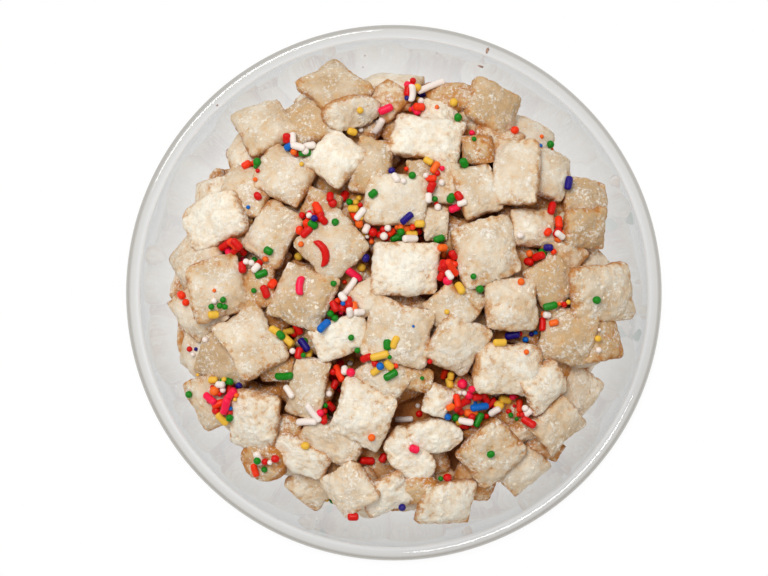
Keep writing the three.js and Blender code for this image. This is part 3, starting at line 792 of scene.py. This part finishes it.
def shadowed_crumb():
    """Toasted crumbs without sugar, with painted shade: dark brown on top, seen down the gaps from
    above, and lighter on the side, seen through the glass.
    """
    material, tree = new_material("shadowed_crumb")
    place = add(tree, "ShaderNodeTexCoord").outputs["Object"]
    lumps = add(tree, "ShaderNodeTexNoise", {
        "Vector": place, "Scale": 1 / (1.8 * MM), "Detail": 5, "Roughness": 0.7,
    })
    # Painted shade: the top, seen down the gaps, darker than the side seen through the glass.
    dark = add(tree, "ShaderNodeMix", {
        "Factor": lumps, "A": linear("7A2E08"), "B": linear("D08A44"),
    }, data_type="RGBA")
    light = add(tree, "ShaderNodeMix", {
        "Factor": lumps, "A": linear("7A4A26"), "B": linear("C79A68"),
    }, data_type="RGBA")
    height = add(tree, "ShaderNodeSeparateXYZ", {"Vector": place}).outputs["Z"]
    top_share = add(tree, "ShaderNodeMapRange", {
        "Value": height,
        "From Min": DARK_STARTS[0] * MM,
        "From Max": DARK_STARTS[1] * MM,
    })
    shade = add(tree, "ShaderNodeMix", {"Factor": top_share, "A": light, "B": dark}, data_type="RGBA")
    bump = add(tree, "ShaderNodeBump", {"Height": lumps, "Strength": 0.8, "Distance": 1.2 * MM})
    shader = add(tree, "ShaderNodeBsdfPrincipled", {
        "Base Color": shade,
        "Roughness": 0.95,
        "Normal": bump,
    })
    add(tree, "ShaderNodeOutputMaterial", {"Surface": shader})
    return material


core_points, core_faces = turned(core_profile(), CORE_SIDES)
core_points = np.array(core_points)
lumpy = 1 + 0.03 * noise(core_points, 7, 5) + 0.018 * noise(core_points, 2.6, 6)
core_points = core_points * lumpy[:, None] + [0, 0, 0.8]
core = mesh_piece("heap_core", core_points, core_faces, shadowed_crumb())
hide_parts("puppy_chow")
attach(core, "root")

# Sprinkles
# Sugar sprinkles, extruded rods and panned balls, polished with confectioner's glaze. They were
# tossed in last, so they fill the gaps in clusters and a few lie on the squares.
ROD_RADIUS = 1.14
WHITE_RODS = 0.88
# A sprinkle rolls to a place that is lower than its own by this much.
ROLL_DROP = 1.2
# Each colour, then rods, x, y, angle in degrees, length and bend if any, and balls, x, y and
# diameter, as seen from straight above.
SPRINKLES = {
    "red": ("D00E06", [
        [-38.5, 27.3, -50, 2.6], [-30.2, 43.5, 90, 3], [3.3, 57, 80, 3.5], [44.7, 23.2, 70, 4],
        [41.7, 10.3, 15, 4], [37.7, 9.3, -20, 3], [10.6, 29.8, 70, 3.5], [18.3, 27.3, -50, 3],
        [-18, 27, 90, 3], [-14, 27.3, 60, 3.5], [-20, 20.5, -40, 3], [-24.8, 17.2, 45, 4],
        [-12.3, -2.2, -75, 3.6], [-16.3, -3.3, -60, 3.5], [-47.2, 13.5, 35, 4.5], [-44.5, 13, -45, 4],
        [-42.7, 6.5, 90, 3.5], [-36.4, 0.3, -70, 4], [16.5, 10.5, -60, 3], [13.5, 7.5, 90, 3],
        [-17.2, -26.5, 60, 3], [-19.8, -36.5, 90, 3], [-33.5, -47, 0, 2.5], [-12, -63, 0, 3.3],
        [-7.5, -47.5, 0, 4.5], [-3, -46, 60, 3], [15.1, -52.6, 0, 2.6], [23.5, -28.7, 0, 3],
        [18.8, -32.2, 30, 6.2, -0.06], [38, -36.5, -30, 4.8], [-20, 11.4, -73, 7.8, -0.11],
    ], [
        [-38.5, 34.5, 1.3], [-17.3, 25.3, 2.6], [-9, 24.3, 1.5], [-5.9, 17, 2.6], [7.5, 17.8, 2.2],
        [61, 21.5, 1.2], [-14.6, -5, 2.5], [-57.1, -16, 1.7], [-30.5, -13.7, 2], [10.7, -19, 1.5],
        [-36.4, -47.8, 2], [-17, -62.8, 2], [7.2, -34.3, 2.2], [35.9, -34.2, 1.6], [48.2, -3.3, 1.5],
    ]),
    "orange_red": ("F0360C", [
        [-41.2, 35.7, 35, 3], [6.7, 52, 0, 3.5], [33.8, 45.5, 20, 2.5], [46.4, 19.8, 90, 3.8],
        [-0.8, 17.7, 40, 2.8], [-60, -0.7, -40, 2.8], [-34.3, 2.5, 50, 3], [16.8, 7.5, -58, 6],
        [-16.2, -22.8, -68, 5.7],
    ], [[-40, 37, 2], [-13.8, 3, 1.5], [-58.8, -2.8, 2.2], [4.8, 19, 1.8]]),
    "orange": ("F0661A", [
        [-9.3, 19, 90, 2.8], [36, 3.1, -30, 1.9], [13.1, 12.7, 0, 3], [-6.3, -41, 20, 2.2],
    ], [
        [-39.2, 32, 1.4], [-28.3, 39.8, 2], [12.2, 52.5, 1.3], [41.5, 43.7, 1.3], [44.3, 41, 1],
        [39, 11, 2.2], [-7, 14.3, 1.5], [2.5, 19, 1.8], [8, 14.8, 1.5], [-26.3, 13.7, 1.7],
        [-50.8, 0.6, 1.1], [-36.3, 9.5, 1.8], [14, 11.3, 1.8], [46.8, -3.2, 1.2], [37.5, -16.8, 1.6],
        [-50.7, -27.8, 2.8], [-44.5, -29, 1.5],
    ]),
    "yellow": ("E8B63C", [
        [-11.8, 45.5, -20, 3], [6.2, 58.5, 0, 2.1], [-11.4, 23.7, 0, 3.5], [5, 17.2, 0, 3.6],
        [6.8, 20, 0, 3], [-26.5, 10.3, -30, 2.5], [-31, -11.5, -38, 8.2], [-51, -6.2, 0, 3.3],
        [18.2, 0.8, -60, 4], [30, -14.8, 5, 4], [0.2, -14, 65, 4], [-4, -17.8, 15, 5.5],
        [-1.5, -20.5, -45, 3.3], [-25, -43.3, -10, 2.6], [-51, -24.7, 0, 3], [-48.5, -35.7, -50, 4.6],
        [29.3, -32.3, -30, 3], [31.5, -31, -15, 4],
    ], [
        [-9.5, 51.5, 2], [17, 53.8, 2.5], [-10.3, 26, 2], [-9.7, 7, 2.6], [57.7, -13, 2],
        [15, -5.4, 1.6], [-48, -24.5, 1.5], [-44.9, -30.2, 1.2], [-54.8, -23.3, 1], [-20.2, -62.7, 1.6],
    ]),
    "green": ("147C12", [
        [-38.7, 36.3, 90, 2.5], [17.6, 49.8, 90, 2.5], [43.8, 42, -50, 2.3], [20.3, 37, -60, 3],
        [61.4, 19.3, 90, 3.6], [16.2, 26.7, 60, 3], [-5.9, 28, 40, 2.8], [-23, 18.6, -25, 3],
        [-35.5, 11.8, -30, 2.8], [-37.5, 5.3, 20, 3.8], [12.8, 15.2, 15, 3.3], [44.2, -3.8, 12, 4.3],
        [57.4, -2.1, -15, 2.5], [64.9, -11.3, 55, 3.3], [-1.9, -14.7, 90, 3.2], [-0.9, -23.3, 30, 4.4],
        [-31, -23.6, 7, 5.7], [-32.5, -12.5, -45, 3], [-46.5, -34.8, 60, 2.3], [-57.9, -28.8, -65, 2],
        [-17.9, -61.6, 25, 2.3], [27.4, -45.7, 30, 2.4], [17.2, -35.5, 70, 2.2], [24, -36, 60, 4.5],
        [24.2, 1, 10, 2.1], [-16.6, 20, 70, 2],
    ], [
        [-39.2, 35, 1.3], [22.7, 43.5, 1.4], [5.2, 32.5, 2.2], [11.6, 26.5, 1.7], [-12.5, 25.5, 2],
        [2, 17.2, 2.2], [-17.9, -5.2, 2], [-17.2, -6.7, 2], [-25.2, -13, 2], [-26.3, -17.7, 1.5],
        [-48.3, -2, 1.8], [-49.2, -3.7, 1.8], [-47.7, -4, 1.8], [-51.6, -4, 1.8], [-39.6, 0.6, 1.6],
        [-12.1, -12.7, 1.8], [-10.8, -15.8, 1.7], [-1.2, -18.2, 1.3], [8, -24.2, 1.2], [-20.1, -32, 1.5],
        [-46.2, -25.2, 2], [-38.6, -47.6, 2.2], [13.2, -52.3, 1.5], [35.2, -35.2, 1.2], [22.5, 4.6, 1.8],
        [-17.1, 2.6, 1.8],
    ]),
    "blue": ("0664BC", [
        [-19.8, -9.3, 45, 4.8], [24.7, -31.8, 3, 5.7],
    ], [
        [-41.2, 24.2, 1.2], [41.7, 41.7, 1.3], [-13.9, -3.5, 1.4], [-3.9, -20.8, 2.3],
        [-46.2, -32.7, 1.3], [-22.4, -63, 2.2], [14.6, -35.2, 2], [5.5, -9.5, 0.8],
    ]),
    "purple": ("1E0E72", [
        [48.8, 31, 75, 4.3], [-7.9, 9, 80, 2.5], [-26, -15.3, -55, 4.5], [33.5, -12, 15, 4.5],
        [1.9, -60.3, 10, 2.1],
    ], [[3.7, 55, 1.5], [-1.3, 34.5, 2], [-22, 20.5, 2], [-55.3, -16, 1.2], [-43.9, -27, 1.9]]),
    "pink": ("F41A48", [
        [-2.3, 51.8, 25, 4.5], [17.2, 24.6, 20, 3.5], [-26.6, 2, 85, 5.5, -0.07], [-11.3, 5.8, -40, 6],
        [-52, -30, -35, 4.8], [-45.5, -29, 45, 5], [-47.5, -32, 70, 5.5], [5.8, -44.2, -20, 3],
    ], [
        [22, 45, 1.7], [15.2, 2.7, 2.8], [-12, -22.2, 2.6], [-20.8, -34, 2.2], [19.4, -25.8, 3],
        [21.7, -29.5, 2.5], [33.6, -29.4, 2],
    ]),
    "white": ("EFE2D8", [
        [-29, 43, 90, 4], [-27.5, 40.8, -20, 4.5], [-3.7, 47.5, 60, 5.5], [4.7, 56, 90, 5, 0.07],
        [10.5, 58.3, 27, 9], [47, 16.3, -35, 3.5], [35.7, 16.2, 0, 2.2], [0.5, 32.5, -60, 3.2],
        [9.8, 26.8, 90, 3], [19.3, 25.4, 20, 3], [-10, 21.8, 50, 4.3], [-7.8, 18, 70, 3],
        [4.6, 15.3, 0, 5], [-12.2, 1.8, 52, 7], [-14.3, -1.8, -60, 3], [-12.5, -5.5, 90, 3],
        [-9.8, -5.5, 0, 3.5], [-39, 7, 50, 3], [15.2, 5.5, -60, 3], [43.3, -6.3, -10, 2.5],
        [-29, -28, -50, 4.5], [-22.8, -34, -55, 6.5], [-24.7, -36.5, 8, 6.5], [-13.7, -22.2, 90, 2.8],
        [-49, -26, 0, 3], [-57, -34.8, 85, 5], [20.3, -36.3, -12, 4.5], [28.5, -33.5, 30, 4],
        [2.5, -36.8, 0, 5.5],
    ], [
        [-25, 40, 2], [-9.8, 46.7, 1.5], [-5, 49, 1.3], [7.7, 53.7, 2], [2.7, 31.6, 1.8], [9, 32.5, 1.6],
        [-7.6, 15.8, 1.2], [-2.4, 18.3, 2], [-2.8, 16, 2.3], [-23.9, 21.8, 1.8], [-28, -16.5, 1.8],
        [-50.8, -2.3, 1.8], [-42.3, 8.3, 1.8], [-40.3, 8.5, 1.8], [-56.7, -17.5, 1.5], [-53.3, -13.3, 1.8],
        [57.5, -10.5, 1], [57.9, -16.2, 1.8], [-12.3, -20, 1.6], [-18.3, -29.2, 2], [-48.3, -27.5, 1.8],
        [-35, -48, 1.5], [4.8, -42.6, 1], [18, -28.3, 1.5], [20, -28.4, 1.5], [37.2, -33.4, 2],
        [7.5, -32, 1.5],
    ]),
}

# Small ones that fill the gaps, by cluster: x, y, spread and count, and each colour's share.
CLUSTERS = [
    [-4, 19, 9, 22], [-14, -2, 6, 12], [8, 30, 8, 9], [-22, 19, 5, 9], [-42, 9, 6, 8],
    [-48, -29, 5, 9], [22, -31, 7, 16], [34, -33, 5, 9], [3, 54, 6, 6], [-28, 40, 5, 6],
    [15, 8, 4, 9], [-27, -14, 5, 9], [-15, -24, 5, 7], [-3, -19, 4, 4], [43, 14, 5, 8],
    [-20, -35, 5, 6], [-37, -47, 4, 3], [47, -4, 6, 5], [38, -15, 5, 4], [13, -27, 5, 6],
]
CLUSTER_SHARES = {
    "red": 0.31, "orange_red": 0.17, "orange": 0.08, "yellow": 0.1, "green": 0.12,
    "blue": 0.03, "purple": 0.04, "pink": 0.08, "white": 0.07,
}
# Directions in which a sprinkle finds a lower place.
DIRECTIONS = np.arange(8) / 8 * 2 * math.pi


def rod(length, radius, sides=12):
    """Points and faces of a rod along x with round ends, or a ball if no longer than thick."""
    blunt = 0.75 if length > 2.4 * radius else 1
    half = max(0, length / 2 - radius * blunt)
    angles = np.linspace(0, math.pi / 2, 6)[1:]
    end = [[math.sin(a) ** blunt * radius, half + math.cos(a) * radius * blunt] for a in angles]
    upper = [[0, half + radius * blunt], *(end if half else end[:-1])]
    waist = [[radius, half * share] for share in (-0.5, 0, 0.5)] if half else [[radius, 0]]
    points, faces = turned([[r, -h] for r, h in upper] + waist + upper[::-1], sides)
    return np.array(points, float)[:, [2, 0, 1]], faces


def joined(parts):
    """Points and faces of several meshes as one mesh."""
    points, faces, count = [], [], 0
    for new_points, new_faces in parts:
        points.append(new_points)
        faces.extend([[int(k) + count for k in face] for face in new_faces])
        count += len(new_points)
    return np.concatenate(points), faces


def lay_sprinkle(seen_x, seen_y, turn, length, radius, bend=0, search=0.7):
    """A sprinkle lying on what is under it, in the lowest place within a short search."""
    x, y = seen_x, seen_y
    for _ in range(2):
        height = relief[cells_of(np.array([[x, y]]))][0]
        scale = 1 + (BOWL_HEIGHT - height) / SEEN_FROM
        x, y = seen_x * scale, seen_y * scale
    around = search * np.stack([np.cos(DIRECTIONS), np.sin(DIRECTIONS)], 1)
    tries = np.array([[0, 0], *around]) + [x, y]
    cross = CELL * np.array([[0, 0], [1, 0], [-1, 0], [0, 1], [0, -1]])
    heights = np.mean([relief[cells_of(tries + step)] for step in cross], axis=0)
    if heights.min() < heights[0] - ROLL_DROP:
        x, y = tries[heights.argmin()]
    points, faces = rod(length, radius)
    bend += rng.uniform(-0.03, 0.03) * (length > 3)
    points[:, 1] += bend * (points[:, 0] ** 2 - length**2 / 12)
    points += 0.04 * radius * noise(points, 1.2, int(rng.integers(1, 999)))[:, None]
    slope = slope_under(x, y, max(2 * CELL, length / 2))
    points = leaned(points, math.radians(turn), [-slope[0], -slope[1], 1]) + [x, y, 0]
    lowest = points[:, 2] < np.median(points[:, 2])
    lift = np.percentile(relief[cells_of(points[lowest])] - points[lowest][:, 2], 80)
    points = pulled_in(points + [0, 0, lift - 0.2 * radius], x, y, 0.25, 0.2)
    points = points - [0, 0, max(0, np.max(points[:, 2]) - HIGHEST - 0.3)]
    np.maximum.at(relief, cells_of(points), points[:, 2])
    return points, faces


def glazed_sugar(name, colour):
    """Coloured sugar under a thin glaze, which gives it a soft shine and a slightly uneven tint."""
    material, tree = new_material("glazed_sugar_" + name)
    place = add(tree, "ShaderNodeTexCoord").outputs["Object"]
    mottle = add(tree, "ShaderNodeTexNoise", {"Vector": place, "Scale": 1 / (1.6 * MM), "Detail": 3})
    pale = [c * 0.75 + 0.25 * w for c, w in zip(linear(colour), linear("FFF4EC"))]
    tint = add(tree, "ShaderNodeMapRange", {
        "Value": mottle, "From Min": 0.5, "From Max": 0.8, "To Min": 0.0, "To Max": 0.14,
    })
    shade = add(tree, "ShaderNodeMix", {
        "Factor": tint, "A": linear(colour), "B": pale,
    }, data_type="RGBA")
    bump = add(tree, "ShaderNodeBump", {"Height": mottle, "Strength": 0.25, "Distance": 0.2 * MM})
    shader = add(tree, "ShaderNodeBsdfPrincipled", {
        "Base Color": shade,
        "Roughness": 0.36,
        "Specular IOR Level": 0.2,
        "Normal": bump,
    })
    add(tree, "ShaderNodeOutputMaterial", {"Surface": shader})
    return material


lots = {colour: [] for colour in SPRINKLES}
for middle_x, middle_y, spread, count in CLUSTERS:
    for _ in range(count):
        colour = rng.choice(list(CLUSTER_SHARES), p=list(CLUSTER_SHARES.values()))
        away, angle = spread * np.sqrt(rng.random(5)), rng.uniform(0, 2 * math.pi, 5)
        tries = np.stack([middle_x + away * np.cos(angle), middle_y + away * np.sin(angle)], 1)
        is_ball = rng.random() < 0.5
        length = rng.uniform(1.1, 2.1) if is_ball else rng.uniform(2.4, 4.4)
        radius = length / 2 if is_ball else ROD_RADIUS * rng.uniform(0.82, 1)
        place = tries[relief[cells_of(tries * 1.02)].argmin()]
        lots[colour].append(lay_sprinkle(*place, rng.uniform(0, 180), length, radius, search=1.5))
for colour, (shade, rods, balls) in SPRINKLES.items():
    for x, y, width in balls:
        lots[colour].append(lay_sprinkle(x, y, 0, width, width / 2))
    for x, y, turn, length, *bend in rods:
        radius = ROD_RADIUS * rng.uniform(0.92, 1.05) * (WHITE_RODS if colour == "white" else 1)
        lots[colour].append(lay_sprinkle(x, y, turn, length, radius, *bend))
    piece = mesh_piece("sprinkles_" + colour, *joined(lots[colour]), glazed_sugar(colour, shade))
    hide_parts("puppy_chow")
    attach(piece, "root")

# Loose sugar
# Grains and small clumps of powdered sugar that cling to the squares, more of them where the coat
# is thick and white.
GRAINS_PER_MM2 = 0.14
GRAIN_SIZES = (0.12, 0.6)
GRAIN_SIDES = 5


def grains():
    """Points and faces of irregular flakes and small grains on the upper sides of the squares."""
    n = GRAIN_SIDES
    angles = np.arange(n) / n * 2 * math.pi
    girdle = np.stack([np.cos(angles), np.sin(angles), 0 * angles], 1)
    corners = np.vstack([girdle, [0, 0, 0.4], [0, 0, -0.3]])
    skin = [[i, (i + 1) % n, n] for i in range(n)] + [[(i + 1) % n, i, n + 1] for i in range(n)]
    skin = np.array(skin)
    points, faces, count = [], [], 0
    for batch, share in ((top, 1), (high, 1), (middle, 0.9), (low, 0.8), (at_glass, 0.3)):
        for square, normals, bare, tone in zip(batch.points, batch.normals, batch.bare, batch.tone):
            upper = len(square) // 2
            spread = np.ptp(square[:upper, 0]) * np.ptp(square[:upper, 1])
            patch = noise(square[:upper], 4.5, 77 + count % 91)
            chance = np.clip(1.05 - bare[:upper], 0.02, 1) ** 2 * np.clip(0.35 + patch, 0.03, 1) ** 2
            wanted = int(spread * GRAINS_PER_MM2 * share * (1.1 - 0.7 * tone[0]))
            lot = rng.choice(upper, wanted, p=chance / chance.sum())
            larger = (GRAIN_SIZES[1] - GRAIN_SIZES[0]) * rng.random((len(lot), 1, 1)) ** 3.5
            stretch = rng.uniform([0.8, 0.6, 0.7], [1.5, 1.1, 1.4], (len(lot), 1, 3))
            shapes = corners * (GRAIN_SIZES[0] + larger) * stretch
            shapes = shapes * rng.uniform(0.6, 1.4, (len(lot), len(corners), 3))
            up = normals[lot] + rng.normal(0, 0.25, (len(lot), 3))
            up /= np.linalg.norm(up, axis=1, keepdims=True)
            side = np.cross(up, rng.normal(0, 1, (len(lot), 3)))
            side /= np.linalg.norm(side, axis=1, keepdims=True)
            across = np.cross(up, side)
            flat = shapes[..., :1] * side[:, None] + shapes[..., 1:2] * across[:, None]
            placed = flat + shapes[..., 2:] * up[:, None] + square[lot][:, None]
            points.append(placed.reshape(-1, 3))
            starts = len(corners) * np.arange(len(lot)) + count
            faces.append((skin + starts[:, None, None]).reshape(-1, 3))
            count += len(corners) * len(lot)
    return np.concatenate(points), np.concatenate(faces)


def loose_sugar():
    """Powdered sugar, matt and near white."""
    material, tree = new_material("loose_sugar")
    place = add(tree, "ShaderNodeTexCoord").outputs["Object"]
    mottle = add(tree, "ShaderNodeTexNoise", {"Vector": place, "Scale": 1 / (2 * MM), "Detail": 2})
    shade = add(tree, "ShaderNodeMix", {
        "Factor": mottle, "A": linear("FBF3E2"), "B": linear("E4D2B4"),
    }, data_type="RGBA")
    shader = add(tree, "ShaderNodeBsdfPrincipled", {"Base Color": shade, "Roughness": 0.7})
    add(tree, "ShaderNodeOutputMaterial", {"Surface": shader})
    return material


sugar = mesh_piece("sugar_grains", *grains(), loose_sugar(), smooth=False)
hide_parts("puppy_chow")
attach(sugar, "root")

# Specks on the glass
# Crumbs of cereal and sugar that fell on the glass above the heap, and stick there. They are
# irregular and under two millimetres.
# x and y as seen from straight above, and width.
SPECKS = [
    [24.3, 63.3, 1.9], [26.4, 68.5, 1.4], [12, 66.5, 0.5], [-8, 66, 0.6], [-8.5, 63, 0.5],
    [-50, 53, 0.6],
]


def speck(x, y, width, sides=7):
    """Points and faces of an irregular crumb on the inside of the bowl."""
    rows = [[0, -0.4], [0.8, -0.2], [1, 0], [0.6, 0.35], [0, 0.45]]
    points, faces = turned(np.array(rows) * width / 2, sides)
    points = np.array(points) * [1.3, 0.8, 0.8]
    points += 0.2 * width * noise(points, 0.4 * width, int(10 * width))[:, None]
    height = inside_height(math.hypot(x, y))
    scale = 1 + (BOWL_HEIGHT - height) / SEEN_FROM
    place = np.array([x * scale, y * scale])
    radius = math.hypot(*place)
    rise = (inside_height(radius + 0.2) - inside_height(radius - 0.2)) / 0.4
    normal = np.array([-rise * place[0] / radius, -rise * place[1] / radius, 1])
    above = normal / np.linalg.norm(normal) * 0.3 * width + [*place, inside_height(radius)]
    return leaned(points, x, normal) + above, faces


def speck_crumb():
    """Toasted crumb with a little of its coat."""
    material, tree = new_material("speck_crumb")
    place = add(tree, "ShaderNodeTexCoord").outputs["Object"]
    mottle = add(tree, "ShaderNodeTexNoise", {"Vector": place, "Scale": 1 / (0.8 * MM), "Detail": 3})
    shade = add(tree, "ShaderNodeMix", {
        "Factor": mottle, "A": linear("8E6450"), "B": linear("D2AE9C"),
    }, data_type="RGBA")
    shader = add(tree, "ShaderNodeBsdfPrincipled", {"Base Color": shade, "Roughness": 0.85})
    add(tree, "ShaderNodeOutputMaterial", {"Surface": shader})
    return material


specks = mesh_piece("specks_on_glass", *joined(speck(*row) for row in SPECKS), speck_crumb())
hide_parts("puppy_chow")
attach(specks, "root")

# Floor, light and camera
# A plain white paper lit softly from above and behind, with the camera straight over the bowl.
# FLOOR_SIZE and EYE_HEIGHT are in metres, and FRAME_WIDTH and the three after it in pixels of the
# photograph.
FLOOR_SIZE = 12
GLOW_STARTS = (81.5, 87)
PAPER_GAP = 0.2
EYE_HEIGHT = (BOWL_HEIGHT + SEEN_FROM) * MM
SENSOR_WIDTH = 36
FRAME_WIDTH = 768
RIM_PIXELS = 268.6
AXIS_PIXEL = (393.9, 292.7)
FRAME_MIDDLE = (384, 288)


def floor_paper():
    """Matt white paper. Most of its white under the bowl, and all of it past the bowl, is a glow
    of its own, so that it looks even."""
    material, tree = new_material("white_paper")
    place = add(tree, "ShaderNodeTexCoord").outputs["Object"]
    radius = add(tree, "ShaderNodeVectorMath", {0: place}, operation="LENGTH")
    away = add(tree, "ShaderNodeMapRange", {
        "Value": radius,
        "From Min": GLOW_STARTS[0] * MM,
        "From Max": GLOW_STARTS[1] * MM,
        "To Min": 0.7,
    }, interpolation_type="SMOOTHSTEP")
    fibre = add(tree, "ShaderNodeTexNoise", {"Vector": place, "Scale": 1 / (2 * MM)})
    shade = add(tree, "ShaderNodeMix", {
        "Factor": fibre, "A": linear("F4F4F3"), "B": linear("F7F7F6"),
    }, data_type="RGBA")
    matt = add(tree, "ShaderNodeBsdfDiffuse", {"Color": shade})
    glow = add(tree, "ShaderNodeEmission", {"Color": linear("FFFFFF"), "Strength": 1.0})
    mixed = add(tree, "ShaderNodeMixShader", {0: away, 1: matt, 2: glow})
    add(tree, "ShaderNodeOutputMaterial", {"Surface": mixed})
    return material


half = FLOOR_SIZE / MM / 2
corners = [[-half, -half, 0], [half, -half, 0], [half, half, 0], [-half, half, 0]]
paper = mesh_piece("paper", corners, [[0, 1, 2, 3]], floor_paper())
paper.location.z = -PAPER_GAP * MM

key = bpy.data.objects.new("key", bpy.data.lights.new("key", "AREA"))
key.data.shape = "DISK"
key.data.size = 0.5
key.data.energy = 7.9
key.location = (-0.25, 0.37, 1.08)
key.rotation_euler = (-key.location).to_track_quat("-Z", "Y").to_euler()
bpy.context.scene.collection.objects.link(key)

world = bpy.data.worlds.new("studio")
bpy.context.scene.world = world
world.use_nodes = True
tree = world.node_tree
tree.nodes.clear()
split = add(tree, "ShaderNodeSeparateXYZ", {
    "Vector": add(tree, "ShaderNodeTexCoord").outputs["Generated"],
})
path = add(tree, "ShaderNodeLightPath")
# Soft light for matt faces, a grey side for what glass mirrors, and plain white where it is seen.
rise = add(tree, "ShaderNodeMapRange", {
    "Value": split.outputs["Z"], "From Min": -0.1, "From Max": 0.6,
})
room = add(tree, "ShaderNodeMix", {
    "Factor": rise, "A": linear("E4E4E4"), "B": linear("FFFFFF"),
}, data_type="RGBA")
soft = add(tree, "ShaderNodeBackground", {"Color": room, "Strength": 0.54})
side = add(tree, "ShaderNodeMapRange", {
    "Value": split.outputs["Y"], "From Min": -0.7, "From Max": 0.4,
})
dim = add(tree, "ShaderNodeMix", {
    "Factor": side, "A": linear("6C6C6B"), "B": linear("FFFFFF"),
}, data_type="RGBA")
mirrored = add(tree, "ShaderNodeBackground", {"Color": dim, "Strength": 1.0})
white = add(tree, "ShaderNodeBackground", {"Color": linear("FFFFFF"), "Strength": 1.0})
seen = add(tree, "ShaderNodeMixShader", {0: path.outputs["Is Glossy Ray"], 1: white, 2: mirrored})
lit = add(tree, "ShaderNodeMixShader", {0: path.outputs["Is Diffuse Ray"], 1: seen, 2: soft})
add(tree, "ShaderNodeOutputWorld", {"Surface": lit})

camera = bpy.data.objects.new("camera", bpy.data.cameras.new("camera"))
bpy.context.scene.collection.objects.link(camera)
bpy.context.scene.camera = camera
pixel = RIM_RADIUS * MM / RIM_PIXELS
camera.location = (
    (FRAME_MIDDLE[0] - AXIS_PIXEL[0]) * pixel,
    (AXIS_PIXEL[1] - FRAME_MIDDLE[1]) * pixel,
    EYE_HEIGHT,
)
camera.data.sensor_width = SENSOR_WIDTH
camera.data.lens = SENSOR_WIDTH * SEEN_FROM * MM / (FRAME_WIDTH * pixel)
bpy.context.scene.view_settings.view_transform = "Standard"
